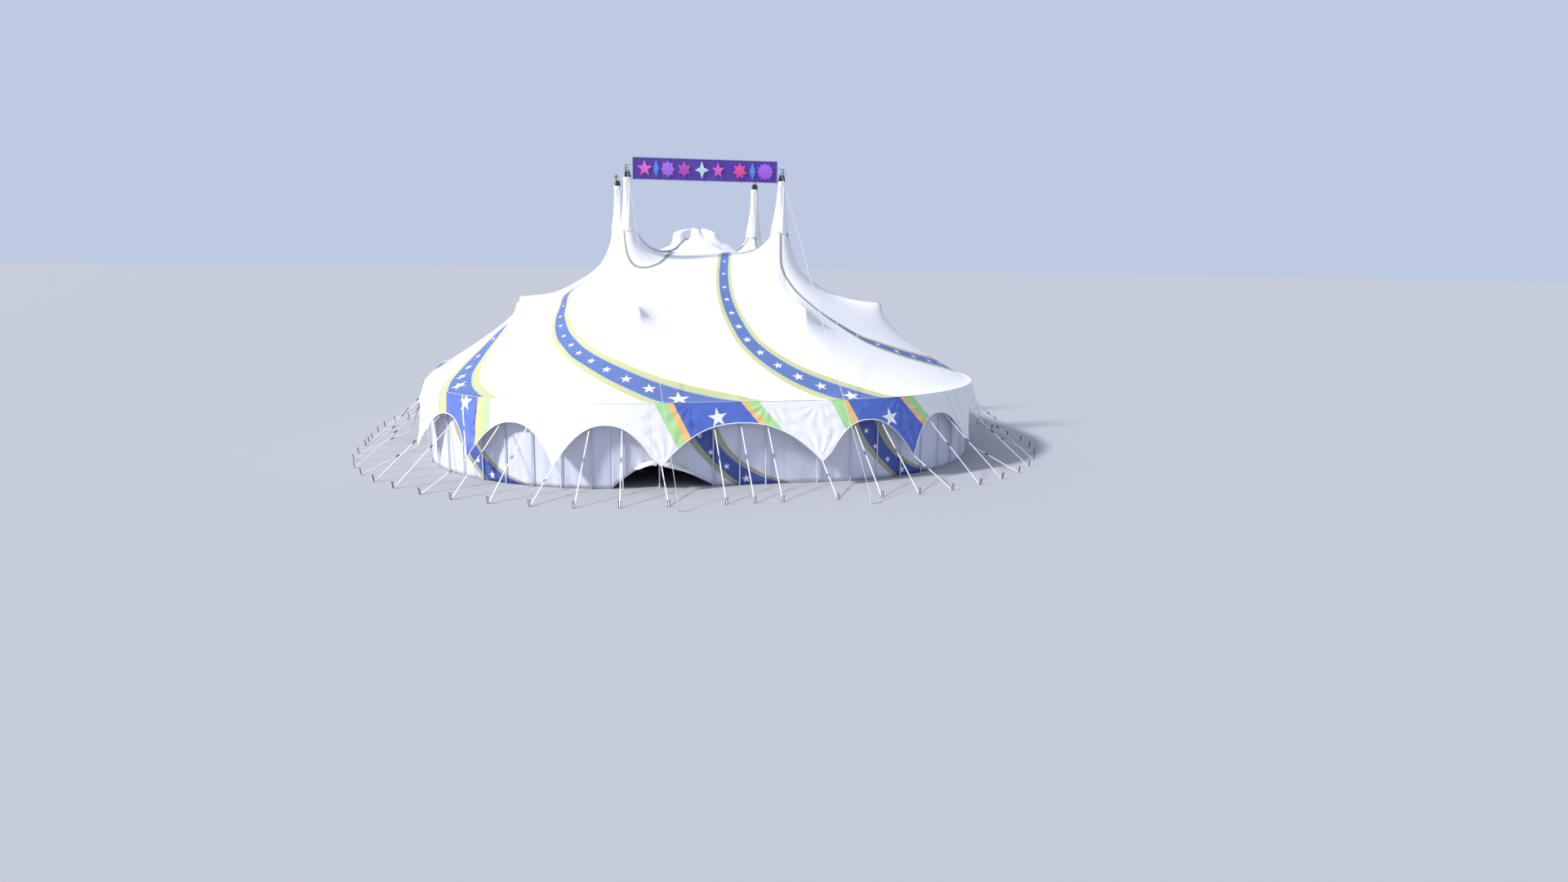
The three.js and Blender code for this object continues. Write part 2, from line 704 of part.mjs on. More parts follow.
// Makes sure that a closed geometry faces outwards
function outward(geometry) {
  const bare = geometry.clone();
  for (const name of Object.keys(bare.attributes)) {
    if (name !== 'position') bare.deleteAttribute(name);
  }
  const merged = mergeVertices(bare, 1e-3);
  const p = merged.attributes.position;
  const list = merged.index.array;
  const kept = [];
  let volume = 0;
  const a = new THREE.Vector3();
  const b = new THREE.Vector3();
  const c = new THREE.Vector3();
  for (let i = 0; i < list.length; i += 3) {
    if (list[i] === list[i + 1] || list[i + 1] === list[i + 2] || list[i] === list[i + 2]) continue;
    kept.push(list[i], list[i + 1], list[i + 2]);
    a.fromBufferAttribute(p, list[i]);
    b.fromBufferAttribute(p, list[i + 1]);
    c.fromBufferAttribute(p, list[i + 2]);
    volume += a.dot(b.cross(c));
  }
  if (volume < 0) {
    for (let i = 0; i < kept.length; i += 3) [kept[i], kept[i + 1]] = [kept[i + 1], kept[i]];
  }
  merged.setIndex(kept);
  return merged;
}

function lathed(points, segments) {
  const profile = points.map(([r, z]) => new THREE.Vector2(r, z));
  return outward(new THREE.LatheGeometry(profile, segments).rotateX(Math.PI / 2));
}

// Crown: ring with the four ridge cables, and the cap over it
function addCrown() {
  const ringFoot = crownZ - 110;
  const ringInner = crownR - 90;
  const ring = lathed([
    [ringInner, ringFoot], [crownR - gap, ringFoot], [crownR - gap, crownZ], [ringInner, crownZ],
    [ringInner, ringFoot],
  ], crownSegments);
  const parts = [ring];
  const length = Math.hypot(mastX, mastY);
  const cableSteps = 6;
  const chordReach = 243;      // from a king pole's axis to the outside of its chords
  const cableHalf = 12;
  const cableDrop = 120;
  const cableLap = 60;         // part of a cable inside the ring
  for (const [signX, signY] of cornerSigns) {
    const sections = [];
    for (let i = 0; i <= cableSteps; i += 1) {
      const start = crownR - cableLap;
      const distance = start + (length - chordReach - start) * i / cableSteps;
      const x = signX * mastX * distance / length;
      const y = signY * mastY * distance / length;
      const z = ridgeAt(Math.min(Math.max(length - distance, collarR), length - crownR)) - cableDrop;
      const sideX = -signY * mastY / length * cableHalf;
      const sideY = signX * mastX / length * cableHalf;
      sections.push([
        [x - sideX, y - sideY, z - cableHalf], [x + sideX, y + sideY, z - cableHalf],
        [x + sideX, y + sideY, z + cableHalf], [x - sideX, y - sideY, z + cableHalf],
      ]);
    }
    parts.push(loft(sections));
  }
  addPiece('crown_ring', fuse(parts), colours.steel, 0.4, 0.7);
  const seat = crownZ + gap;
  const cap = lathed([
    [0, seat], [1560, seat], [1620, seat + 60], [1600, seat + 420], [1420, seat + 570], [860, seat + 700],
    [740, seat + 840], [620, seat + 840], [580, seat + 780], [0, seat + 800],
  ], 24);
  addPiece('crown_cap', cap, colours.canvas);
}

function addQuarterPole(name, mast, heading) {
  const x = mast[0] * mastX;
  const y = mast[1] * mastY;
  const at = (radius, z) => [x + radius * heading[0], y + radius * heading[1], z];
  const capTop = humpZ - skin - gap;
  const poleRadius = 57;
  const spike = 200;
  const spikeLap = 30;
  const plateHalf = 200;
  const spikeTip = new THREE.ConeGeometry(poleRadius - 12, spike + spikeLap, 8).rotateX(Math.PI / 2);
  spikeTip.translate(...at(humpR, capTop - (spike + spikeLap) / 2));
  const [footX, footY] = at(humpFootR, 0);
  const parts = [
    rod(at(humpFootR, 20), at(humpR, capTop - spike), poleRadius, 8),
    spikeTip,
    box(footX - plateHalf, footX + plateHalf, footY - plateHalf, footY + plateHalf, 0, 24),
  ];
  addPiece(name, fuse(parts), colours.steel, 0.45, 0.6);
}

// Stay from a king pole's cap, over the valance, to a stake in front of or behind the tent
function addMastStay(name, signX, signY) {
  const skew = 0.05;
  const cableWidth = 22;
  const cableFootZ = 300;
  const stakeHalf = 40;
  const stakeTop = 460;
  const x = signX * mastX;
  const y = signY * mastY;
  const out = [Math.sin(skew), signY * Math.cos(skew)];
  const place = (radius, z) => [x + out[0] * radius, y + out[1] * radius, z];
  const [footX, footY] = place(stayAnchorR, 0);
  const parts = [
    strap(place(70, mastTop - 30), place(stayAnchorR, cableFootZ), cableWidth, cableWidth),
    box(footX - stakeHalf, footX + stakeHalf, footY - stakeHalf, footY + stakeHalf, 0, stakeTop),
  ];
  addPiece(`mast_stay_${name}`, fuse(parts), colours.steel, 0.4, 0.7);
}

// Sign between the heads of the front king poles, on two rails and a spreader behind it
function addSign() {
  const back = -mastY - 60;
  const depth = 50;
  addPiece('sign_panel', box(-signHalfLength, signHalfLength, back - depth, back, signLow, signHigh),
    colours.sign, 0.5);

  const bar = 40;
  const railY = back + gap;
  const postInner = mastX + postOffset - postHalf - gap;
  const lowRail = mastTop + 50;
  const highRail = postTop - 60;
  const headInner = mastX - 90 - gap;
  const spreaderZ = sleeveTop + 70;
  const hangerFoot = signLow - 70;
  const hangerHalf = 15;
  const parts = [
    box(-postInner, postInner, railY, railY + bar, lowRail, lowRail + bar),
    box(-postInner, postInner, railY, railY + bar, highRail, highRail + bar),
    box(-headInner, headInner, -mastY - 20, -mastY + 20, spreaderZ, spreaderZ + bar),
  ];
  for (const x of [-2200, 0, 2200]) {
    parts.push(box(x - hangerHalf, x + hangerHalf, railY, railY + 75, hangerFoot, highRail + 30));
  }
  addPiece('sign_frame', fuse(parts), colours.steel, 0.4, 0.7);
}

addCanopy();
for (let side = 0; side < 4; side += 1) {
  addValance(side);
  addSidePoles(side);
  addEdgeWebbing(side);
}
addWalls();
addDoorwayAwning('doorway_awning_left', [22 / 12, 23 / 12, 2, 2.035], 400, 700);
addDoorwayAwning('doorway_awning_right', [2.075, 25 / 12, 26 / 12, 27 / 12], 600, 260);
cornerSigns.forEach(([signX, signY], i) => {
  addKingPole(cornerNames[i], signX, signY);
  addSleeve(cornerNames[i], signX, signY);
  addQuarterPole(`quarter_pole_${cornerNames[i]}_a`, [signX, signY], [0, signY]);
  addQuarterPole(`quarter_pole_${cornerNames[i]}_b`, [signX, signY], [signX, 0]);
  addMastStay(cornerNames[i], signX, signY);
});
addCrown();
addSign();

group.scale.setScalar(modelScale);
group.updateMatrixWorld(true);

export default group;
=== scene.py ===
import math
import bmesh
import bpy
import numpy as np
from mathutils import Matrix, Vector


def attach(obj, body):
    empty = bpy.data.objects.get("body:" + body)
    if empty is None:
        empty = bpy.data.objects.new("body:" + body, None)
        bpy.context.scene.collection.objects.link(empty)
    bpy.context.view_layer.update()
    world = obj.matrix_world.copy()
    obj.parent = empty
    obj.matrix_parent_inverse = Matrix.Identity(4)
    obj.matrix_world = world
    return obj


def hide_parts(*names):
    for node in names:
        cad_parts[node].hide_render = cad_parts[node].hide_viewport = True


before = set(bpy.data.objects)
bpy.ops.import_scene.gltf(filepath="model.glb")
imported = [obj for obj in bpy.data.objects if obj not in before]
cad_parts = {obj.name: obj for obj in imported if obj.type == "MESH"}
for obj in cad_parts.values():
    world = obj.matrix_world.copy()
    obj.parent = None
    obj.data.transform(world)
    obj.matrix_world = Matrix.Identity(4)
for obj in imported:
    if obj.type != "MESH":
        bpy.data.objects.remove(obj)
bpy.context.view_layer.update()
print("frame loaded:", len(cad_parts), "nodes")

# plan and heights that every piece shares, in metres at model scale
plan = {
    "mastX": 2.385, "mastY": 2.175,
    "collarReach": 0.2, "collarHeight": 6.875,
    "crownReach": 0.6, "crownHeight": 6.45,
    "ridgeLow": 5.96, "spurLow": 4.48, "spurStart": 0.75,
    "humpReach": 3.35, "humpHeight": 4.54, "humpCap": 0.03,
    "hemReach": 5.995, "eaveReach": 6.075, "eaveHeight": 2.25,
    "tipReach": 6.575, "tipHeight": 0.67, "archHeight": 1.7,
    "wallReach": 5.979, "bayEdges": [0, 1.03, 2.055, 2.945, 3.97, 5],
    "anchorReach": 8.1, "clothDepth": 0.004,
}
corners = {"front_left": (-1, -1), "front_right": (1, -1), "back_right": (1, 1), "back_left": (-1, 1)}
sides = ["front", "right", "back", "left"]


# camera

view = {"lens": 23.98, "sensor": 36, "place": (-4.8909, -34.8698, 6.0),
        "yaw": 0.2242, "pitch": 0.1752, "roll": -0.0124, "farthest": 600}


def makeCamera():
    yaw, pitch, roll = view["yaw"], view["pitch"], view["roll"]
    ahead = Vector((math.sin(yaw) * math.cos(pitch), math.cos(yaw) * math.cos(pitch), -math.sin(pitch)))
    right = Vector((math.cos(yaw), -math.sin(yaw), 0))
    up = right.cross(ahead)
    rolledRight = math.cos(roll) * right - math.sin(roll) * up
    rolledUp = math.sin(roll) * right + math.cos(roll) * up
    data = bpy.data.cameras.new("camera")
    data.lens = view["lens"]
    data.sensor_width = view["sensor"]
    data.clip_end = view["farthest"]
    camera = bpy.data.objects.new("camera", data)
    bpy.context.scene.collection.objects.link(camera)
    turn = Matrix((rolledRight, rolledUp, -ahead)).transposed()
    camera.matrix_world = Matrix.Translation(view["place"]) @ turn.to_4x4()
    bpy.context.scene.camera = camera


makeCamera()
print("camera placed")


# finishes

# a shader socket that can stand in a sum
class Wire:
    def __init__(self, finish, socket):
        self.finish = finish
        self.socket = socket

    def maths(self, operation, *values):
        return self.finish.add("ShaderNodeMath", {"operation": operation}, dict(enumerate(values)))

    def __add__(self, other):
        return self.maths("ADD", self, other)

    def __sub__(self, other):
        return self.maths("SUBTRACT", self, other)

    def __rsub__(self, other):
        return self.maths("SUBTRACT", other, self)

    def __mul__(self, other):
        return self.maths("MULTIPLY", self, other)

    def __truediv__(self, other):
        return self.maths("DIVIDE", self, other)

    def __lt__(self, other):
        return self.maths("LESS_THAN", self, other)

    def __gt__(self, other):
        return self.maths("GREATER_THAN", self, other)

    def __abs__(self):
        return self.maths("ABSOLUTE", self)

    def wave(self):
        return self.maths("SINE", self)

    def fraction(self):
        return self.maths("FRACT", self)

    __radd__ = __add__


# a material and the nodes that are added to it
class Finish:
    def __init__(self, name, **constants):
        self.material = bpy.data.materials.new(name)
        self.material.use_nodes = True
        self.tree = self.material.node_tree
        self.shader = self.tree.nodes["Principled BSDF"]
        for socket, value in constants.items():
            self.feed(socket.replace("_", " "), value)

    def plug(self, into, value):
        if isinstance(value, Wire):
            self.tree.links.new(value.socket, into)
        else:
            into.default_value = value

    def feed(self, socket, value):
        self.plug(self.shader.inputs[socket], value)

    def add(self, kind, settings=None, values=None, output=0):
        node = self.tree.nodes.new(kind)
        for key, value in (settings or {}).items():
            setattr(node, key, value)
        for key, value in (values or {}).items():
            self.plug(node.inputs[key], value)
        return Wire(self, node.outputs[output])

    def place(self):
        return self.add("ShaderNodeTexCoord", output="Object")

    def split(self, vector, axes="XYZ"):
        return [self.add("ShaderNodeSeparateXYZ", None, {0: vector}, axis) for axis in axes]

    def map(self, name):
        return self.split(self.add("ShaderNodeUVMap", {"uv_map": name}), "XY")

    def noise(self, where, scale, detail):
        return self.add("ShaderNodeTexNoise", None,
                        {"Vector": where, "Scale": scale, "Detail": detail, "Roughness": 0.55})

    def blend(self, amount, under, over):
        return self.add("ShaderNodeMix", {"data_type": "RGBA"}, {0: amount, 6: under, 7: over}, 2)

    def ease(self, value, start, end):
        return self.add("ShaderNodeMapRange", {"interpolation_type": "SMOOTHSTEP"},
                        {0: value, 1: start, 2: end})

    def bump(self, height, strength, distance):
        self.feed("Normal", self.add("ShaderNodeBump", None,
                                     {"Height": height, "Strength": strength, "Distance": distance}))


# the wall's blue grey white, its two dark blues and its dull olive are darker copies of the white, the band
# blues and the lime of the other cloth: painted shade for the shade that falls on the wall under the valance
tones = {
    "white": (0.86, 0.855, 0.85, 1), "worn": (0.72, 0.71, 0.7, 1), "shadedWhite": (0.63, 0.65, 0.74, 1),
    "blue": (0.13, 0.2, 0.46, 1), "deepBlue": (0.09, 0.15, 0.37, 1), "lime": (0.54, 0.57, 0.27, 1),
    "mist": (0.45, 0.5, 0.42, 1), "orange": (0.9, 0.55, 0.2, 1), "green": (0.43, 0.74, 0.31, 1),
    # the grey and the drab are the canopy's band blue and lime greyed: painted shade on the narrow band ends
    # near the king poles
    "shadedLime": (0.36, 0.36, 0.25, 1), "shadedSlate": (0.26, 0.26, 0.32, 1), "shadedDrab": (0.52, 0.52, 0.43, 1),
    "royal": (0.11, 0.19, 0.62, 1), "deepRoyal": (0.07, 0.12, 0.45, 1), "shadedBlue": (0.07, 0.12, 0.4, 1),
    "deepShadedBlue": (0.05, 0.08, 0.3, 1), "seam": (0.45, 0.45, 0.5, 1), "soil": (0.5, 0.48, 0.45, 1),
    "rust": (0.3, 0.28, 0.26, 1),
}

clothSettings = {
    "stain": 0.7, "streak": 1.2, "streakStretch": (9, 9, 0.7), "worn": 0.3, "seam": 0.16,
    # scale and height of the weave, of the soft waves and of the fine coat, and height of a sewn lap
    "weave": 900, "weaveRise": 0.03, "waves": 1.6, "wavesRise": 0.5, "coat": 60, "coatRise": 0.12,
    "seamRise": 0.8, "bump": 0.35, "relief": 0.004,
    # width of the border beside a band of no width, and its growth with the band's half width
    "border": (0.01, 0.68),
    # half widths between which a band takes on its full colours
    "narrow": (0.035, 0.1),
    # share of the valance's border that the strip beside the band takes
    "inner": 0.45,
}


def starMask(finish):
    # inside a five-pointed star at most one of its five lines is crossed
    across, upward = finish.map("star")
    line = math.sin(math.radians(18))
    crossed = 0
    for k in range(5):
        angle = math.radians(90 + 72 * k)
        crossed = (across * math.cos(angle) + upward * math.sin(angle) > line) + crossed
    return crossed < 1.5


def clothGrain(finish, where, seam):
    # plain weave, a fine orange-peel coat and sewn laps
    s = clothSettings
    x, y, z = finish.split(where)
    weave = (x * s["weave"]).wave() * (z * s["weave"] + y * s["weave"]).wave()
    waves = finish.noise(where, s["waves"], 4)
    coat = finish.noise(where, s["coat"], 2)
    return weave * s["weaveRise"] + waves * s["wavesRise"] + coat * s["coatRise"] + seam * s["seamRise"]


# coated tent cloth; each paint is a colour and the strip beside the bands that it fills, and narrow is the
# colour that the canopy's bands take where they are narrow, a grey that is painted shade on the narrow band
# ends near the king poles
def makeCloth(name, paints, base="white", bandTones=("blue", "deepBlue"), narrow=None):
    s = clothSettings
    finish = Finish(name, Specular_IOR_Level=0.35)
    where = finish.place()
    stain = finish.noise(where, s["stain"], 6)
    stretched = finish.add("ShaderNodeMapping", None, {0: where, 3: s["streakStretch"]})
    streak = finish.noise(stretched, s["streak"], 4)
    worn = finish.ease(stain * 0.6 + streak * 0.4, 0.5, 0.75) * s["worn"]
    colour = finish.blend(worn, tones[base], tones["worn"])
    if paints:
        # the map holds the place across a band, and the place in the strips beside it
        across, beyond = finish.map("band")
        band = abs(across) < 1
        if narrow:
            # on the canopy it holds the band's half width instead
            half = beyond
            least, growth = s["border"]
            beyond = (abs(across) - 1) * half / (half * growth + least)
            wide = finish.ease(half, *s["narrow"])
        for tone, low, high in paints:
            strip = (beyond > low) * (beyond < high)
            # where a band is narrow its border strips turn drab, painted shade
            paint = finish.blend(wide, tones["shadedDrab"], tones[tone]) if narrow else tones[tone]
            colour = finish.blend(strip * (1 - band), colour, paint)
        blotch = finish.noise(where, 3, 3)
        painted = finish.blend(blotch, *[tones[tone] for tone in bandTones])
        # where a band is narrow it turns grey, painted shade
        if narrow:
            painted = finish.blend(wide, tones[narrow], painted)
        colour = finish.blend(band, colour, painted)
        colour = finish.blend(band * starMask(finish), colour, tones["white"])
    # laps where the breadths of cloth are joined
    lap = finish.map("lap")[0]
    seam = finish.ease(abs(lap.fraction() - 0.5), 0.47, 0.5)
    if paints:
        seam = seam * (1 - band)
    finish.feed("Base Color", finish.blend(seam * s["seam"], colour, tones["seam"]))
    finish.feed("Roughness", 0.5 + stain * 0.15)
    finish.bump(clothGrain(finish, where, seam), s["bump"], s["relief"])
    return finish.material


metalSettings = {"spangle": 45, "spangleShade": 0.8, "grime": 5, "grimeRough": 0.25, "grain": 120}


def makeMetal(name, colour, rough, metallic=0.9):
    s = metalSettings
    finish = Finish(name, Metallic=metallic)
    where = finish.place()
    spangle = finish.add("ShaderNodeTexVoronoi", None, {"Vector": where, "Scale": s["spangle"]}, "Distance")
    grime = finish.ease(finish.noise(where, s["grime"], 5), 0.5, 0.8)
    shaded = tuple(c * s["spangleShade"] for c in colour[:3]) + (1,)
    shade = finish.blend(spangle * 0.5, colour, shaded)
    finish.feed("Base Color", finish.blend(grime * 0.5, shade, tones["rust"]))
    finish.feed("Roughness", rough + grime * s["grimeRough"])
    finish.bump(finish.noise(where, s["grain"], 2), 0.15, 0.001)
    return finish.material


webbingSettings = {"twill": 500, "climb": 700, "soil": 3, "soiled": 0.4, "soilRough": 0.15}


def makeWebbing(name, colour):
    s = webbingSettings
    finish = Finish(name)
    where = finish.place()
    x, y, z = finish.split(where)
    twill = ((x + y) * s["twill"] + z * s["climb"]).wave() * ((x - y) * s["twill"] + z * s["twill"]).wave()
    soil = finish.ease(finish.noise(where, s["soil"], 4), 0.45, 0.8)
    finish.feed("Base Color", finish.blend(soil * s["soiled"], colour, tones["soil"]))
    finish.feed("Roughness", 0.7 + soil * s["soilRough"])
    finish.bump(twill, 0.3, 0.001)
    return finish.material


# what a user would recolour: the canopy, valance and wall each have their own bands
inner = clothSettings["inner"]
cloths = {
    "canopy": makeCloth("canopyCloth", [("mist", 0, 0.25), ("lime", 0.25, 1)], narrow="shadedSlate"),
    "valance": makeCloth("valanceCloth", [("orange", 0, inner), ("green", inner, 1)],
                         bandTones=("royal", "deepRoyal")),
    # the wall's white, band blues and border colour are darkened: painted shade for the shade under the
    # valance
    "wall": makeCloth("wallCloth", [("shadedLime", 0, 1)], "shadedWhite", ("shadedBlue", "deepShadedBlue")),
    "plain": makeCloth("plainCloth", []),
}
steels = {
    "galvanised": makeMetal("galvanisedSteel", (0.55, 0.57, 0.6, 1), 0.42),
    "dark": makeMetal("darkSteel", (0.12, 0.12, 0.13, 1), 0.5),
    "rope": makeMetal("wireRope", (0.72, 0.73, 0.78, 1), 0.5, 0.3),
    "painted": makeMetal("paintedSteel", (0.62, 0.64, 0.71, 1), 0.45, 0.1),
}
webbings = {
    "white": makeWebbing("whiteWebbing", (0.86, 0.86, 0.86, 1)),
    # the grey webbing is darkened: painted shade on the ridge ropes and straps, which lie in shade
    "grey": makeWebbing("shadedRidgeWebbing", (0.44, 0.44, 0.52, 1)),
}
print("finishes mixed")


# shared building steps

def finishPiece(name, bm, material, replaced=(), smooth=True):
    mesh = bpy.data.meshes.new(name)
    bm.to_mesh(mesh)
    bm.free()
    mesh.materials.append(material)
    mesh.polygons.foreach_set("use_smooth", [smooth] * len(mesh.polygons))
    piece = bpy.data.objects.new(name, mesh)
    bpy.context.scene.collection.objects.link(piece)
    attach(piece, "root")
    if replaced:
        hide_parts(*replaced)
    return piece


def steelPiece(name, bm, kind):
    finishPiece(name, bm, steels[kind], smooth=False)


def readArray(items, key, width=1, kind=float):
    values = np.zeros(len(items) * width, kind)
    items.foreach_get(key, values)
    return values.reshape(-1, width) if width > 1 else values


def writeMap(mesh, name, pairs):
    layer = mesh.uv_layers.new(name=name)
    layer.data.foreach_set("uv", np.asarray(pairs, dtype=np.float32).ravel())


def thicken(piece, depth):
    solid = piece.modifiers.new("skin", "SOLIDIFY")
    solid.thickness = depth
    solid.offset = 0


# plan place at a distance along a side's eave, from its middle, and a reach from the rectangle of king poles
def rimPoint(side, along, reach):
    along = np.asarray(along, float)
    half = plan["mastY"] if side % 2 else plan["mastX"]
    row = plan["mastX"] if side % 2 else plan["mastY"]
    angle = np.maximum(np.abs(along) - half, 0) / plan["eaveReach"]
    sideways = np.where(np.abs(along) <= half, along, np.sign(along) * (half + reach * np.sin(angle)))
    out = row + reach * np.cos(angle)
    turn = side * math.pi / 2
    return (sideways * math.cos(turn) + out * math.sin(turn),
            sideways * math.sin(turn) - out * math.cos(turn))


# distance along a side's eave, from its middle, of a station counted in turns of an eighth
def alongOf(side, station):
    station = np.asarray(station, float)
    half = plan["mastY"] if side % 2 else plan["mastX"]
    bay = math.pi / 8 * plan["eaveReach"]
    low = -half - (2 - station) * bay
    high = half + (station - 3) * bay
    return np.where(station < 2, low, np.where(station > 3, high, -half + 2 * half * (station - 2)))


def stationOfBay(bay):
    return np.interp(bay, range(6), plan["bayEdges"])


# a round bar or rope through the points, from one circle that is extruded along them; sizes has its scale at
# each point
def tube(bm, points, radius, segments=8, sizes=None):
    points = [Vector(p) for p in points]
    sizes = [1] * len(points) if sizes is None else sizes
    ring = None
    for i, point in enumerate(points):
        ahead = points[min(i + 1, len(points) - 1)] - points[max(i - 1, 0)]
        turn = ahead.to_track_quat("Z", "Y").to_matrix().to_4x4()
        if ring is None:
            made = bmesh.ops.create_circle(bm, cap_ends=True, radius=radius * sizes[0], segments=segments,
                                           matrix=Matrix.Translation(point) @ turn)
            ring = made["verts"]
            before = turn
            loop = set(e for v in ring for e in v.link_edges)
            continue
        made = bmesh.ops.extrude_edge_only(bm, edges=list(loop))
        ring = [g for g in made["geom"] if isinstance(g, bmesh.types.BMVert)]
        grow = Matrix.Scale(sizes[i] / sizes[i - 1], 4)
        back = before.inverted() @ Matrix.Translation(-points[i - 1])
        bmesh.ops.transform(bm, matrix=Matrix.Translation(point) @ turn @ grow @ back, verts=ring)
        before = turn
        loop = set(g for g in made["geom"] if isinstance(g, bmesh.types.BMEdge)
                   and all(v in ring for v in g.verts))
    bmesh.ops.contextual_create(bm, geom=list(loop))


def bar(bm, start, end, radius, segments=8):
    tube(bm, [start, end], radius, segments)


def block(bm, centre, size, turn=Matrix(), round=0):
    place = Matrix.Translation(centre) @ turn @ Matrix.Diagonal((*size, 1))
    verts = bmesh.ops.create_cube(bm, size=1, matrix=place)["verts"]
    if round:
        edges = list(set(e for v in verts for e in v.link_edges))
        bmesh.ops.bevel(bm, geom=edges, offset=round, segments=2, affect="EDGES", profile=0.5,
                        material=-1)


# the stretched canopy

canopySettings = {
    "gridStep": 0.0375, "sweeps": 700, "settle": 100, "between": 20, "hurry": 1.8, "stretch": 0.4,
    "belowTop": 0.006,
    # how quickly a ridge falls from the king pole and from the crown, and how a spur's height falls
    "ridgeFall": (0.5, 0.45), "spurRise": 1.02, "spurTop": 0.67, "spurFall": 0.95,
    # heading in degrees where each run of columns ends, and its columns; the uneven ones are corners
    "turns": [(-12, 3), (0, 14), (12, 14), (78, 30), (90, 14), (102, 14), (111.43, 4), (180, 28),
              (222.36, 18), (270, 18), (340.3, 28)],
    # reach from the king pole where each run of rows ends, its rows, and how they bunch
    "rings": [(3.0, 26, 1.25), (3.35, 3, 1), (3.85, 7, 1), (6.075, 15, 1)],
}


def outlineReach(x, y):
    return np.hypot(np.maximum(np.abs(x) - plan["mastX"], 0), np.maximum(np.abs(y) - plan["mastY"], 0))


# relaxes a quarter of the canopy over what holds it up
def formFilm(step, sweeps, start=None):
    p, s = plan, canopySettings
    x, y = np.meshgrid(np.arange(math.ceil((p["mastX"] + p["eaveReach"]) / step) + 1) * step,
                       np.arange(math.ceil((p["mastY"] + p["eaveReach"]) / step) + 1) * step)
    length = math.hypot(p["mastX"], p["mastY"])
    along = np.clip((x * p["mastX"] + y * p["mastY"]) / length ** 2, 0, 1)
    fromRidge = np.hypot(x - along * p["mastX"], y - along * p["mastY"])
    fromMast = length * (1 - along)
    low, (mastFall, crownFall) = p["ridgeLow"], s["ridgeFall"]
    ridge = (low + (p["collarHeight"] - low) * np.exp((p["collarReach"] - fromMast) / mastFall)
             + (p["crownHeight"] - low) * np.exp((fromMast - length + p["crownReach"]) / crownFall))
    near = step * 0.6
    spur = np.maximum(np.where(np.abs(y - p["mastY"]) < near, x - p["mastX"], 0),
                      np.where(np.abs(x - p["mastX"]) < near, y - p["mastY"], 0))
    spurHeight = p["spurLow"] + s["spurRise"] * np.exp((s["spurTop"] - spur) / s["spurFall"])

    # a round hold of one height about a place that is counted from the king pole
    def cap(east, north, reach, height):
        return np.hypot(x - p["mastX"] - east, y - p["mastY"] - north) <= reach, height + 0 * x

    holds = [
        (outlineReach(x, y) >= p["hemReach"], p["eaveHeight"] + 0 * x),
        cap(-p["mastX"], -p["mastY"], p["crownReach"], p["crownHeight"]),
        cap(0, 0, p["collarReach"], p["collarHeight"]),
        cap(p["humpReach"], 0, p["humpCap"], p["humpHeight"]),
        cap(0, p["humpReach"], p["humpCap"], p["humpHeight"]),
        ((spur >= p["spurStart"]) & (spur <= p["humpReach"]), spurHeight),
        (fromRidge <= near, ridge),
    ]
    z = np.full(x.shape, p["humpHeight"]) if start is None else start(x, y)
    held = np.zeros(x.shape, bool)
    for where, height in holds:
        fresh = where & ~held
        z[fresh] = height[fresh]
        held |= where
    checker = np.add.outer(np.arange(x.shape[0]), np.arange(x.shape[1])) % 2
    pull = np.ones((x.shape[0] - 1, x.shape[1] - 1))
    for sweep in range(sweeps):
        if sweep % s["between"] == 0:
            if sweep > s["settle"] or start is not None:
                slopeX = (z[:-1, 1:] - z[:-1, :-1] + z[1:, 1:] - z[1:, :-1]) / (2 * step)
                slopeY = (z[1:, :-1] - z[:-1, :-1] + z[1:, 1:] - z[:-1, 1:]) / (2 * step)
                pull = (1 + slopeX ** 2 + slopeY ** 2) ** (-s["stretch"] / 2)
            w = np.pad(pull, 1, mode="edge")
            east, west = w[:-1, 1:] + w[1:, 1:], w[:-1, :-1] + w[1:, :-1]
            north, south = w[1:, 1:] + w[1:, :-1], w[:-1, 1:] + w[:-1, :-1]
        for colour in (0, 1):
            wide = np.pad(z, 1, mode="reflect")
            level = (east * wide[1:-1, 2:] + west * wide[1:-1, :-2] + north * wide[2:, 1:-1]
                     + south * wide[:-2, 1:-1]) / (east + west + north + south)
            free = (checker == colour) & ~held
            z[free] += s["hurry"] * (level[free] - z[free])

    def heightAt(px, py):
        u = np.clip(np.abs(px) / step, 0, x.shape[1] - 1.001)
        v = np.clip(np.abs(py) / step, 0, x.shape[0] - 1.001)
        i, j = u.astype(int), v.astype(int)
        u, v = u - i, v - j
        near, far = [z[row, i] * (1 - u) + z[row, i + 1] * u for row in (j, j + 1)]
        return near * (1 - v) + far * v

    return heightAt


coarseFilm = formFilm(canopySettings["gridStep"] * 2, canopySettings["sweeps"])
canopyHeight = formFilm(canopySettings["gridStep"], canopySettings["sweeps"] // 2, coarseFilm)
print("canopy film relaxed")

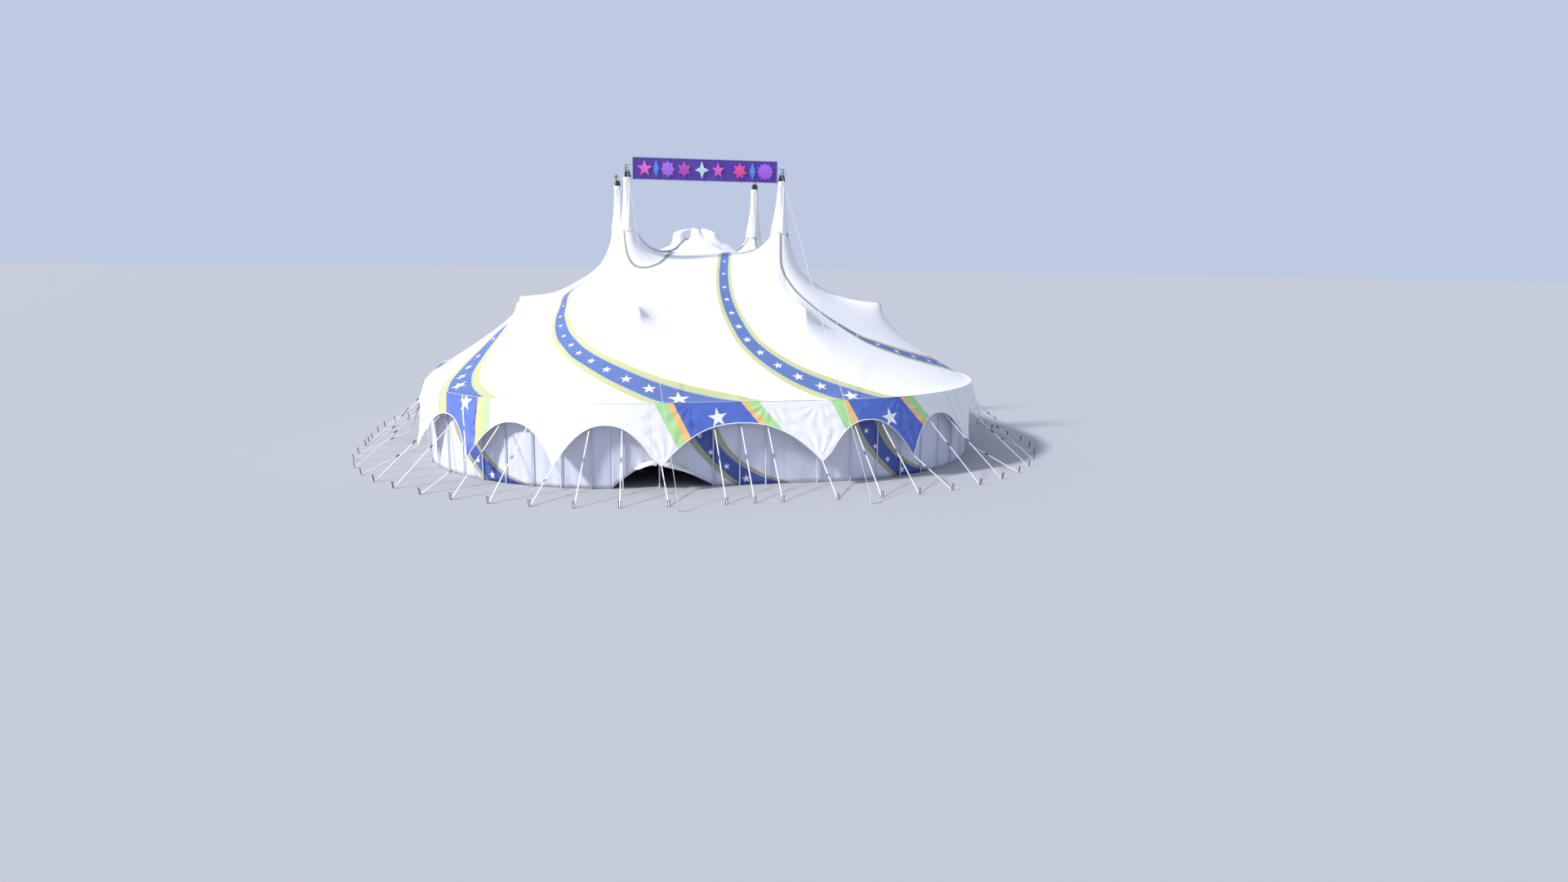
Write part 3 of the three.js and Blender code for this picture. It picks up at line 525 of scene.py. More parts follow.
# painted bands on the canopy: (x, y, half width) from a king pole out to the eave, and (x, y, size) of the
# stars. Each is drawn a second time on the far side, turned half round.
bands = {
    "frontMiddle": {
        "line": [(2.62, -2.3, .018), (2.85, -2.22, .018), (3.02, -2.02, .018), (3.03, -1.68, .018),
                 (2.8, -1.32, .02), (2.35, -1.1, .025), (1.86, -1.0, .035), (1.4, -.93, .055),
                 (1.0, -.88, .09), (.76, -1.35, .115), (.595, -2.11, .125), (.437, -2.906, .13),
                 (.342, -3.63, .14), (.312, -4.25, .15), (.347, -4.89, .165), (.448, -5.483, .175),
                 (.595, -6.013, .185),
                 (.873, -6.5, .2), (1.279, -6.96, .22), (1.762, -7.35, .24), (2.324, -7.67, .265),
                 (3.079, -8.02, .3), (3.75, -8.27, .32), (4.4, -8.45, .34)],
        "stars": [(.93, -.9, .068), (.595, -2.11, .074), (.437, -2.906, .079), (.342, -3.63, .088),
                  (.312, -4.25, .096), (.347, -4.89, .102), (.448, -5.483, .118), (.595, -6.013, .13),
                  (.873, -6.5, .132), (1.279, -6.96, .141), (1.762, -7.35, .174), (2.324, -7.67, .18),
                  (3.079, -8.02, .253)],
    },
    "frontLeft": {
        "line": [(-2.37, -1.92, .02), (-2.4, -1.7, .02), (-2.6, -1.54, .025), (-3.0, -1.5, .03),
                 (-3.55, -1.57, .045), (-4.04, -1.74, .055),
                 (-4.28, -2.25, .07), (-4.39, -2.91, .09), (-4.49, -3.45, .12), (-4.49, -3.98, .155),
                 (-4.42, -4.61, .172), (-4.24, -5.23, .18), (-4.05, -5.74, .195), (-3.74, -6.26, .2),
                 (-3.36, -6.76, .23), (-2.88, -7.24, .26), (-2.32, -7.67, .285), (-1.59, -8.07, .32),
                 (-.95, -8.3, .33), (-.3, -8.5, .34), (.3, -8.7, .34)],
        "stars": [(-4.39, -2.91, .057), (-4.49, -3.45, .068), (-4.49, -3.98, .081), (-4.42, -4.61, .088),
                  (-4.24, -5.23, .107), (-4.05, -5.74, .113), (-3.74, -6.26, .124), (-3.36, -6.76, .137),
                  (-2.88, -7.24, .169), (-2.32, -7.67, .197), (-1.59, -8.07, .292)],
    },
    "leftMiddle": {
        "line": [(-2.52, -2.36, .016), (-2.5, -2.45, .016), (-2.45, -2.58, .016), (-2.36, -2.71, .015),
                 (-2.2, -2.82, .014), (-2.02, -2.86, .014), (-1.83, -2.84, .014), (-1.65, -2.74, .015),
                 (-1.46, -2.57, .017), (-1.27, -2.22, .025), (-1.1, -1.71, .045), (-.98, -1.3, .07),
                 (-.92, -.93, .1), (-1.4, -.74, .115), (-2.1, -.64, .125), (-2.9, -.52, .13),
                 (-3.63, -.5, .14), (-4.3, -.65, .15), (-4.95, -.95, .17), (-5.5, -1.35, .18),
                 (-6.0, -1.85, .19), (-6.4, -2.35, .2), (-6.68, -2.8, .22), (-6.88, -3.2, .25),
                 (-7.08, -3.76, .28), (-7.24, -4.4, .295), (-7.26, -5.05, .31), (-7.2, -5.65, .32),
                 (-7.05, -6.2, .33), (-6.85, -6.75, .34), (-6.6, -7.3, .34)],
        "stars": [(-.94, -.93, .068), (-2.1, -.64, .074), (-2.9, -.52, .079), (-3.63, -.5, .088),
                  (-4.3, -.65, .096), (-4.95, -.95, .102), (-5.5, -1.35, .113), (-6.0, -1.85, .113),
                  (-6.45, -2.45, .102), (-6.86, -3.18, .113), (-7.1, -3.76, .146), (-7.26, -4.36, .18),
                  (-7.28, -5.05, .258)],
    },
    "rightMiddle": {
        "line": [(2.32, -2.42, .025), (2.28, -2.77, .025), (2.39, -3.0, .025), (2.54, -3.39, .03),
                 (2.72, -3.8, .035), (2.94, -4.19, .04), (3.12, -4.42, .045), (3.37, -4.59, .06),
                 (3.62, -4.7, .075), (3.92, -4.82, .09), (4.2, -4.91, .105), (4.46, -4.95, .12),
                 (4.79, -4.91, .15), (5.44, -4.78, .18), (6.06, -4.55, .2), (6.72, -4.15, .22),
                 (7.25, -3.65, .25), (7.7, -3.0, .28), (8.1, -2.25, .31), (8.38, -1.6, .33),
                 (8.6, -.95, .34)],
        "stars": [(3.57, -4.68, .068), (4.15, -4.9, .079), (4.8, -4.88, .102), (5.44, -4.78, .124),
                  (6.06, -4.56, .124), (6.72, -4.17, .146), (7.28, -3.6, .169), (7.75, -2.9, .214),
                  (8.13, -2.15, .281)],
    },
}

# distance between the points of a band's line, how far past its last point it runs on, reach over which the
# slope under a star is taken, and degrees between laps
bandSettings = {"step": 0.05, "runOn": 0.06, "slopeReach": 0.12, "lapAngle": 15}


# a smooth line through the points, with a point every step
def resample(line):
    line = np.array(line)
    padded = np.vstack([2 * line[0] - line[1], line, 2 * line[-1] - line[-2]])
    made = []
    for a, b, c, d in zip(padded, padded[1:], padded[2:], padded[3:]):
        count = max(int(np.hypot(*(c - b)[:2]) / bandSettings["step"]), 1)
        t = (np.arange(count) / count)[:, None]
        made.append(0.5 * (2 * b + (c - a) * t + (2 * a - 5 * b + 4 * c - d) * t ** 2
                           + (3 * b - a - 3 * c + d) * t ** 3))
    return np.vstack(made + [line[-1:]])


# distances from every place to every point
def gapsTo(places, points):
    return np.hypot(places[:, None, 0] - points[None, :, 0], places[:, None, 1] - points[None, :, 1])


# writes the maps: place across the nearest band and its half width, place in the nearest star, and the laps
def paintCanopy(mesh):
    loops = len(mesh.loops)
    vertexOf = readArray(mesh.loops, "vertex_index", kind=int)
    at = readArray(mesh.vertices, "co", 3)[vertexOf][:, :2]
    counts = readArray(mesh.polygons, "loop_total", kind=int)
    faceOf = np.repeat(np.arange(len(counts)), counts)
    middles = readArray(mesh.polygons, "center", 3)[:, :2]
    lines, stars = [], []
    for band in bands.values():
        for turn in (1, -1):
            lines.append(resample([(turn * x, turn * y, half) for x, y, half in band["line"]]))
            stars += [(turn * x, turn * y, size) for x, y, size in band["stars"]]
    lineOf = np.concatenate([np.full(len(line), i) for i, line in enumerate(lines)])
    every = np.vstack(lines)
    ahead = np.vstack([np.gradient(line[:, :2], axis=0) for line in lines])
    ahead /= np.linalg.norm(ahead, axis=1)[:, None]
    batch = 4000
    nearest = np.zeros(len(middles), int)
    for start in range(0, len(middles), batch):
        gap = gapsTo(middles[start:start + batch], every)
        nearest[start:start + batch] = lineOf[np.argmin(gap - every[None, :, 2], axis=1)]
    across = np.zeros(loops)
    widths = np.zeros(loops)
    for i in range(len(lines)):
        mine = np.nonzero(nearest[faceOf] == i)[0]
        own = lineOf == i
        points, directions = every[own], ahead[own]
        for start in range(0, len(mine), batch):
            part = mine[start:start + batch]
            k = np.argmin(gapsTo(at[part], points), axis=1)
            offset = at[part] - points[k, :2]
            sideways = offset[:, 0] * directions[k, 1] - offset[:, 1] * directions[k, 0]
            # the band's end is a round
            overrun = np.maximum(np.abs((offset * directions[k]).sum(1)) - bandSettings["runOn"], 0)
            away = np.hypot(sideways, overrun) * np.where(sideways < 0, -1, 1)
            across[part] = away / points[k, 2]
            widths[part] = points[k, 2]
    writeMap(mesh, "band", np.stack([across, widths], -1))
    # a star stands upright on the slope of the cloth
    stars = np.array(stars)
    reach = bandSettings["slopeReach"]
    x, y = stars[:, 0], stars[:, 1]
    rises = [canopyHeight(x + east, y + north) - canopyHeight(x - east, y - north)
             for east, north in ((reach, 0), (0, reach))]
    slope = np.stack(rises, -1) / (2 * reach)
    steep = np.linalg.norm(slope, axis=1)
    uphill = slope / steep[:, None]
    own = np.argmin(gapsTo(middles, stars), axis=1)[faceOf]
    offset = at - stars[own, :2]
    upward = (offset * uphill[own]).sum(1) * np.hypot(1, steep[own]) / stars[own, 2]
    sideways = (offset[:, 0] * uphill[own, 1] - offset[:, 1] * uphill[own, 0]) / stars[own, 2]
    writeMap(mesh, "star", np.stack([sideways, upward], -1))
    # laps run out from the nearest king pole
    mast = np.sign(middles) * (plan["mastX"], plan["mastY"])
    fromMast = middles - mast
    base = np.arctan2(fromMast[:, 1], fromMast[:, 0])[faceOf]
    fromMast = at - mast[faceOf]
    turned = np.arctan2(fromMast[:, 1], fromMast[:, 0]) - base + math.pi
    heading = base + turned % (2 * math.pi) - math.pi
    breadth = math.radians(bandSettings["lapAngle"])
    writeMap(mesh, "lap", np.stack([heading / breadth, outlineReach(at[:, 0], at[:, 1])], -1))


def makeCanopy():
    p = plan
    s = canopySettings
    mx, my = p["mastX"], p["mastY"]
    exact = {111.43: math.atan2(p["eaveReach"], -mx), 222.36: math.pi + math.atan2(my, mx),
             340.3: 2 * math.pi + math.atan2(-my, p["eaveReach"])}
    headings = [math.atan2(-my, p["eaveReach"])]
    for end, count in s["turns"]:
        low, high = headings[-1], exact.get(end, math.radians(end))
        headings += [low + (high - low) * (k + 1) / count for k in range(count)]
    reaches = [p["collarReach"]]
    for end, count, power in s["rings"]:
        low = reaches[-1]
        reaches += [low + (end - low) * ((k + 1) / count) ** power for k in range(count)]
    shares = [(reach - p["collarReach"]) / (p["eaveReach"] - p["collarReach"]) for reach in reaches]
    bm = bmesh.new()
    bmesh.ops.create_grid(bm, x_segments=len(headings) - 1, y_segments=len(shares) - 1, size=0.5)
    for v in bm.verts:
        heading = headings[round((v.co.x + 0.5) * (len(headings) - 1))]
        share = shares[round((v.co.y + 0.5) * (len(shares) - 1))]
        east, north = math.cos(heading), math.sin(heading)
        limit = p["eaveReach"]
        if east < 0:
            limit = min(mx / -east, p["eaveReach"] / north if north > 1e-6 else 99)
        if north < 0:
            limit = min(my / -north, mx / -east if east < -1e-6 else p["eaveReach"] / max(east, 1e-6))
        reach = p["collarReach"] + (limit - p["collarReach"]) * share
        v.co = (mx + reach * east, my + reach * north, 0)
    bmesh.ops.remove_doubles(bm, verts=bm.verts, dist=1e-5)
    for v in bm.verts:
        if abs(v.co.x) < 1e-4:
            v.co.x = 0
        if abs(v.co.y) < 1e-4:
            v.co.y = 0
    for axis in "XY":
        bmesh.ops.mirror(bm, geom=bm.verts[:] + bm.edges[:] + bm.faces[:], axis=axis, merge_dist=1e-4)
    bmesh.ops.remove_doubles(bm, verts=bm.verts, dist=1e-4)
    places = np.array([v.co[:2] for v in bm.verts])
    heights = canopyHeight(places[:, 0], places[:, 1])
    heights[outlineReach(places[:, 0], places[:, 1]) > p["hemReach"]] = p["eaveHeight"]
    for v, height in zip(bm.verts, heights):
        v.co.z = height - s["belowTop"]
    bmesh.ops.recalc_face_normals(bm, faces=bm.faces)
    if sum(f.normal.z for f in bm.faces) < 0:
        bmesh.ops.reverse_faces(bm, faces=bm.faces)
    replaced = ["canopy_corner_" + c for c in corners] + ["canopy_" + s for s in sides] + ["canopy_middle"]
    canopy = finishPiece("canopy", bm, cloths["canopy"], replaced)
    paintCanopy(canopy.data)


makeCanopy()
print("canopy made")


# bands that go on down the valance and the wall: side, middle and half width at the crease, place of star
fallingBands = []
for side in range(4):
    fallingBands.append((side, -0.885, 0.885, -0.62, 1.85))
    fallingBands.append((side, 6.17, 0.73, 6.47, 2.07) if side % 2 else (side, 3.725, 0.815, 4.13, 1.72))
fallSettings = {"starTilt": 0.12, "breadth": 1.19}


def fallAt(z):
    return (plan["eaveHeight"] - z) / (plan["eaveHeight"] - plan["tipHeight"])


# a cloth grid: placeAt takes shares along and down as arrays and gives x, y, z and what to paint
def gridPiece(name, columns, rows, placeAt, material, replaced):
    bm = bmesh.new()
    bmesh.ops.create_grid(bm, x_segments=columns, y_segments=rows, size=0.5)
    bm.verts.ensure_lookup_table()
    shares = np.array([(v.co.x + 0.5, 0.5 - v.co.y) for v in bm.verts])
    x, y, z, maps = placeAt(shares[:, 0], shares[:, 1])
    for v, place in zip(bm.verts, zip(x, y, z)):
        v.co = place
    bm.normal_update()
    # cloth faces away from its own middle, or from the tent's where it hangs beyond the king poles
    centre = sum((v.co for v in bm.verts), Vector()) / len(bm.verts)
    if math.hypot(centre.x, centre.y) > math.hypot(plan["mastX"], plan["mastY"]) + 0.5:
        centre = Vector((0, 0, 3))
    outward = sum(f.normal.dot(f.calc_center_median() - centre) for f in bm.faces)
    if outward < 0:
        bmesh.ops.reverse_faces(bm, faces=bm.faces)
    piece = finishPiece(name, bm, material, replaced)
    for mapName, pairs in maps(readArray(piece.data.loops, "vertex_index", kind=int)).items():
        writeMap(piece.data, mapName, pairs)
    return piece


# maps of plain cloth, whose laps come at whole numbers across
def lapMap(across, down):
    return lambda vertexOf: {"lap": np.stack([across, down], -1)[vertexOf]}


def noMap(vertexOf):
    return {}


# maps for a side's valance or wall: bandAt gives the middle and half width of a band at a height, and
# borderAt the widths of the two strips beside it
def paintFalling(side, along, height, bandAt, starsAt, borderAt):
    def maps(vertexOf):
        q, z = along[vertexOf], height[vertexOf]
        faces = len(q) // 4
        q4, z4 = q.reshape(faces, 4).mean(1), z.reshape(faces, 4).mean(1)
        across, beyond, sideways, upward = np.zeros((4, len(q)))
        best = np.full(faces, np.inf)
        half = [plan["mastX"], plan["mastY"]]
        quarter = math.pi / 4 * plan["eaveReach"]
        east, north = math.cos(fallSettings["starTilt"]), math.sin(fallSettings["starTilt"])
        first, second = borderAt(z)
        for bandSide, start, startHalf, starAlong, starHeight in fallingBands:
            turns = (bandSide - side + 2) % 4 - 2
            if abs(turns) > 1:
                continue
            shift = turns * (half[side % 2] + half[bandSide % 2] + 2 * quarter)
            middle4, half4 = bandAt(start, startHalf, z4)
            away4 = np.abs(q4 - middle4 - shift) - half4
            mine = away4 < best
            best[mine] = away4[mine]
            at = np.repeat(mine, 4)
            middle, wide = bandAt(start, startHalf, z)
            offset = q - middle - shift
            across[at] = (offset / wide)[at]
            away = np.abs(offset) - wide
            outer = inner + (1 - inner) * (away - first) / second
            beyond[at] = np.where(away < first, inner * away / first, outer)[at]
            stars = np.array(starsAt(start, starAlong, starHeight))
            gaps = np.hypot(q4 - stars[:, :1] - shift, z4 - stars[:, 1:2])
            own = np.repeat(np.argmin(gaps, axis=0), 4)
            dx, dz = q - stars[own, 0] - shift, z - stars[own, 1]
            sideways[at] = ((dx * east + dz * north) / stars[own, 2])[at]
            upward[at] = ((dz * east - dx * north) / stars[own, 2])[at]
        lap = np.stack([q / fallSettings["breadth"], z], -1)
        band, star = np.stack([across, beyond], -1), np.stack([sideways, upward], -1)
        return {"band": band, "star": star, "lap": lap}
    return maps


# scalloped valance

valanceSettings = {
    "perBay": 80, "rows": 36, "belowTop": 0.004, "ripple": 0.007, "sag": 2.3,
    # how far a band moves along and how much it widens on its way down, and the same for one near a corner
    "drift": (1.035, 0.265), "cornerDrift": (0.55, -0.25), "cornerStart": 5,
    # widths of the two strips beside a band, what passes from one to the other on the way down, and the star
    "border": (0.15, 0.33, 0.13), "star": 0.26,
    # folds that fan out from where the cloth is pulled: place along, height, folds, depth, reach
    "fans": [(-1.25, 2.24, 13, 0.015, 0.6), (0.7, 2.24, 12, 0.014, 0.6), (2.05, 2.24, 12, 0.014, 0.6),
             (4.6, 2.24, 11, 0.011, 0.6), (-4.2, 2.24, 11, 0.01, 0.6), (-6.2, 2.24, 11, 0.01, 0.5)],
    "tipFan": (14, 0.013, 1.0),
    # place along, depth and width of one sharp crease
    "tuck": (-1.25, 0.012, 0.03),
}


def scallopHeight(bay):
    rise = plan["archHeight"] - plan["tipHeight"]
    return plan["tipHeight"] + rise * (1 - np.abs(2 * (bay % 1) - 1) ** valanceSettings["sag"])


def valanceReach(z):
    return plan["eaveReach"] + (plan["tipReach"] - plan["eaveReach"]) * fallAt(z)


# small folds: slack below the crease between the guys, tight at the edge
def valanceCrumple(side, along, z, bay):
    s = valanceSettings
    diagonal = np.sin(along * 13 + z * 22 + side) * np.sin(along * 5.1 + 2 * side) ** 2
    crosswise = np.sin(along * 7.3 - z * 15 + 1.7 * side) * np.sin(along * 3.3 + side) ** 2
    relief = s["ripple"] * (diagonal + 0.6 * crosswise)
    tips = [(float(alongOf(side, stationOfBay(i))), plan["tipHeight"], *s["tipFan"]) for i in range(6)]
    for middle, height, folds, depth, reach in s["fans"] + tips:
        sideways, upward = along - middle, z - height
        away = np.hypot(sideways, upward)
        spoke = np.sin(np.arctan2(sideways, upward) * folds + 2 * np.sin(away * 4 + side + middle))
        relief = relief + depth * spoke * np.clip(away / 0.12, 0, 1) * np.exp(-(away / reach) ** 2)
    place, depth, width = s["tuck"]
    relief = relief - depth * np.exp(-((along - place) / width) ** 2)
    return relief * np.clip(fallAt(z) * 6, 0, 1) * np.clip((z - scallopHeight(bay)) * 5, 0.15, 1)


def makeValance(side):
    s = valanceSettings

    def placeAt(u, v):
        bay = u * 5
        along = alongOf(side, stationOfBay(bay))
        z = plan["eaveHeight"] - v * (plan["eaveHeight"] - scallopHeight(bay))
        reach = valanceReach(z) - s["belowTop"] + valanceCrumple(side, along, z, bay)
        x, y = rimPoint(side, along, reach)

        def bandAt(start, half, height):
            drift, growth = s["cornerDrift"] if start > s["cornerStart"] else s["drift"]
            return start + drift * fallAt(height), half + growth * fallAt(height)

        def starsAt(start, starAlong, starHeight):
            return [(starAlong, starHeight, s["star"])]

        def borderAt(height):
            first, second, change = s["border"]
            return first + change * fallAt(height), second - change * fallAt(height)

        return x, y, z, paintFalling(side, along, z, bandAt, starsAt, borderAt)

    piece = gridPiece("valanceCloth_" + sides[side], s["perBay"] * 5, s["rows"], placeAt, cloths["valance"],
                      ["valance_" + sides[side]])
    thicken(piece, plan["clothDepth"])


for side in range(4):
    makeValance(side)
print("valance made")


# curtain wall

wallSettings = {
    "rows": 18, "top": 2.228, "clear": 0.003, "foldDepth": 0.0084,
    # stations between which the curtain is lifted, and the place and height of the peak
    "doorStart": 1.59, "doorEnd": 2.36, "doorPeak": 2.02, "doorHeight": 0.625,
    # depth, reach and number of the gathers over the doorway
    "gathers": (0.012, 0.25, 60),
    # how far a band has moved along, and its half width, at these heights
    "heights": [0, .24, .58, .92, 1.2, 2.23], "drift": [1.55, 1.03, .55, .21, .01, -.5],
    "halves": [.58, .39, .27, .25, .26, .26], "border": (0.09, 0.11),
    # place along from a band's start, height and size of the stars
    "stars": [(0.12, 0.9, 0.09), (0.54, 0.51, 0.095), (1.07, 0.165, 0.12), (-0.18, 1.35, 0.085)],
}
doorStart, doorEnd = wallSettings["doorStart"], wallSettings["doorEnd"]
# name, side, first and last station, columns
wallParts = [
    ("wall_front_left", 0, 0, doorStart, 76), ("wall_over_doorway", 0, doorStart, doorEnd, 60),
    ("wall_front_right", 0, doorEnd, 5, 126), ("wall_right", 1, 0, 5, 220), ("wall_back", 2, 0, 5, 220),
    ("wall_left", 3, 0, 5, 220),
]


def doorFoot(station):
    s = wallSettings
    span = np.where(station < s["doorPeak"], s["doorPeak"] - s["doorStart"], s["doorEnd"] - s["doorPeak"])
    t = np.minimum(np.abs(station - s["doorPeak"]) / span, 1)
    return s["doorHeight"] * (1 - t ** 1.5)


def makeWall(name, side, start, end, columns):
    s = wallSettings
    overDoorway = name == "wall_over_doorway"

    def placeAt(u, v):
        station = start + (end - start) * u
        along = alongOf(side, station)
        low = s["clear"] + (doorFoot(station) if overDoorway else 0 * u)
        z = s["top"] - v * (s["top"] - low)
        slack = np.clip((s["top"] - z) / s["top"], 0, 1)
        folds = np.sin(along * 9.5 + np.sin(along * 2.3 + side) * 2) + 0.5 * np.sin(along * 23 + z * 1.5)
        # the folds fade out over the last three columns
        edge = np.clip(np.minimum(u, 1 - u) * columns / 3, 0, 1)
        reach = plan["wallReach"] + s["foldDepth"] * slack * folds * edge
        if overDoorway:
            depth, fade, gathers = s["gathers"]
            reach = reach + depth * np.exp((low - z) / fade) * edge * np.sin(station * gathers)
        x, y = rimPoint(side, along, reach)

        def bandAt(first, half, height):
            drift, wide = [np.interp(height, s["heights"], s[part]) for part in ("drift", "halves")]
            return first + drift, wide

        def starsAt(first, starAlong, starHeight):
            return [(first + shift, height, size) for shift, height, size in s["stars"]]

        def borderAt(height):
            return s["border"]

        return x, y, z, paintFalling(side, along, z, bandAt, starsAt, borderAt)

    piece = gridPiece(name.replace("wall_", "wallCloth_"), columns, s["rows"], placeAt, cloths["wall"],
                      [name])
    thicken(piece, plan["clothDepth"])
    width = float(alongOf(side, end) - alongOf(side, start))
    area = width * 2.23 * (0.86 if overDoorway else 1)


for part in wallParts:
    makeWall(*part)
print("wall hung")


# crown: a drum of cloth over the ring, whose front falls away as a cone between two ridges

crownSettings = {
    "turns": 128, "rows": 62, "reach": 1.36, "lift": 0.012, "pleats": 24, "pleatDepth": 0.006,
    # reach from the middle and height of the cloth's top
    "cone": [(0, 6.835), (.1, 6.835), (.13, 6.86), (.18, 6.77), (.25, 6.65), (.34, 6.55), (.46, 6.48),
             (.6, 6.46), (.8, 6.34), (1.4, 5.9)],
    "drum": [(0, 6.835), (.1, 6.835), (.13, 6.86), (.2, 6.845), (.36, 6.83), (.6, 6.77), (.71, 6.715),
             (.75, 6.66), (.775, 6.42), (.85, 6.3), (1.4, 5.9)],
    "slope": [(0, 6.835), (.1, 6.835), (.13, 6.86), (.3, 6.85), (.5, 6.79), (.62, 6.73), (.7, 6.62),
              (.78, 6.52), (.9, 6.41), (1.09, 6.31), (1.4, 6.1)],
    # how much of the drum and of the slope there is at these headings, in degrees from the front
    "headings": [-180, -62, -47.6, 47.6, 75, 130, 180],
    "toDrum": [1, 1, 0, 0, 0, 0, 1], "toSlope": [0, 0, 0, 0, 1, 1, 0],
}


def crownHeightAt(x, y):
    s = crownSettings
    reach = np.hypot(x, y)
    heading = np.degrees(np.arctan2(x, -y))
    cone, drum, slope = [np.interp(reach, *zip(*s[part])) for part in ("cone", "drum", "slope")]
    toDrum, toSlope = [np.interp(heading, s["headings"], s[part]) for part in ("toDrum", "toSlope")]
    height = cone * (1 - toDrum - toSlope) + drum * toDrum + slope * toSlope
    return np.maximum(height, canopyHeight(x, y) + s["lift"] * np.clip((1.3 - reach) * 4, -1, 1))


def weld(piece):
    bm = bmesh.new()
    bm.from_mesh(piece.data)
    bmesh.ops.remove_doubles(bm, verts=bm.verts, dist=1e-5)
    bm.to_mesh(piece.data)
    bm.free()


def makeCrown():
    s = crownSettings

    def placeAt(u, v):
        heading = u * 2 * math.pi
        reach = s["reach"] * v
        x, y = reach * np.sin(heading), -reach * np.cos(heading)
        gathered = np.clip((reach - 0.4) * 3, 0, 1) * np.clip((1.1 - reach) * 3, 0, 1)
        z = crownHeightAt(x, y) + s["pleatDepth"] * gathered * np.sin(heading * s["pleats"])
        z = np.where(v > 0.999, canopyHeight(x, y) - 0.03, z)
        return x, y, z, lapMap(u * 16, reach)

    crown = gridPiece("crownCloth", s["turns"], s["rows"], placeAt, cloths["plain"],
                      ["crown_cap"])
    weld(crown)


# padded rope in each ridge from the king poles to the crown, with a strap on each side of it; their grey is
# partly painted shade, and the thick rope on the front-left ridge stands in for that ridge's shaded side

# width and distance apart of the straps are counted in radii of the rope
ridgeSettings = {
    "width": 0.9, "apart": 2.4, "lift": 0.006, "steps": 80, "strapStart": 0.95, "end": 0.24, "taper": 0.35,
    "lip": (0.11, 6.862, 0.02),
    # radius of the rope, and its reach from the middle where it ends; the radii follow the width of the
    # shaded band along each ridge, as painted shade
    "ropes": {"front_left": (0.046, 0.26), "front_right": (0.02, 0.62), "back_right": (0.014, 0.78),
              "back_left": (0.03, 0.78)},
}


def makeRidges():
    s = ridgeSettings
    length = math.hypot(plan["mastX"], plan["mastY"])
    end = length - s["end"]

    # place on the ridge of a king pole at a reach from the middle, moved sideways and lifted off the cloth
    def onRidge(signX, signY, reach, away, lift):
        east, north = signX * plan["mastX"] / length, signY * plan["mastY"] / length
        x, y = east * reach - north * away, north * reach + east * away
        at = np.array([x]), np.array([y])
        return x, y, max(canopyHeight(*at)[0], crownHeightAt(*at)[0]) + lift

    straps, ropes = bmesh.new(), bmesh.new()
    for corner, (signX, signY) in corners.items():
        radius, start = s["ropes"][corner]
        for offset in (-s["apart"] * radius / 2, s["apart"] * radius / 2):
            for v in bmesh.ops.create_grid(straps, x_segments=s["steps"], y_segments=1, size=0.5)["verts"]:
                reach = s["strapStart"] + (end - s["strapStart"]) * (v.co.x + 0.5)
                v.co = onRidge(signX, signY, reach, offset + v.co.y * s["width"] * radius, s["lift"])
        reaches = np.linspace(start, end, s["steps"])
        sizes = np.clip((reaches - start) / s["taper"], 0.3, 1)
        points = [onRidge(signX, signY, reach, 0, 0.6 * radius * size)
                  for reach, size in zip(reaches, sizes)]
        tube(ropes, points, radius, 10, sizes)
    reach, height, thick = s["lip"]
    turns = [math.radians(12 * k) for k in range(31)]
    tube(ropes, [(reach * math.cos(turn), reach * math.sin(turn), height) for turn in turns], thick, 8)
    bmesh.ops.recalc_face_normals(straps, faces=straps.faces)
    thicken(finishPiece("ridgeStraps", straps, webbings["grey"]), 0.006)
    finishPiece("ridgeRopes", ropes, webbings["grey"])


# mast sleeves

sleeveSettings = {
    "top": 8.285, "turns": 64, "rows": 44, "flare": 0.13, "flareTop": 8.05, "footRadius": 0.225,
    "footLift": 0.012, "squared": 0.09, "drape": 0.004,
    "heights": [6.8, 6.9, 7.0, 7.2, 7.36, 7.6, 8.1, 8.24, 8.285],
    "radii": [.225, .215, .202, .18, .162, .14, .123, .127, .128],
    # heading of the lacing in degrees, its crossings and the shares of the height that they take up
    "lacing": -38, "crossings": 16, "laceStart": 0.12, "laceSpan": 0.8, "aside": 0.16, "down": 0.015,
    # shares of the height where a cord runs round, radii of lace and cord, and their lift off the cloth
    "cords": (0.02, 0.96), "laceRadius": 0.003, "cordRadius": 0.006, "cordLift": 0.009,
}


def sleeveRadius(z):
    return np.interp(z, sleeveSettings["heights"], sleeveSettings["radii"])


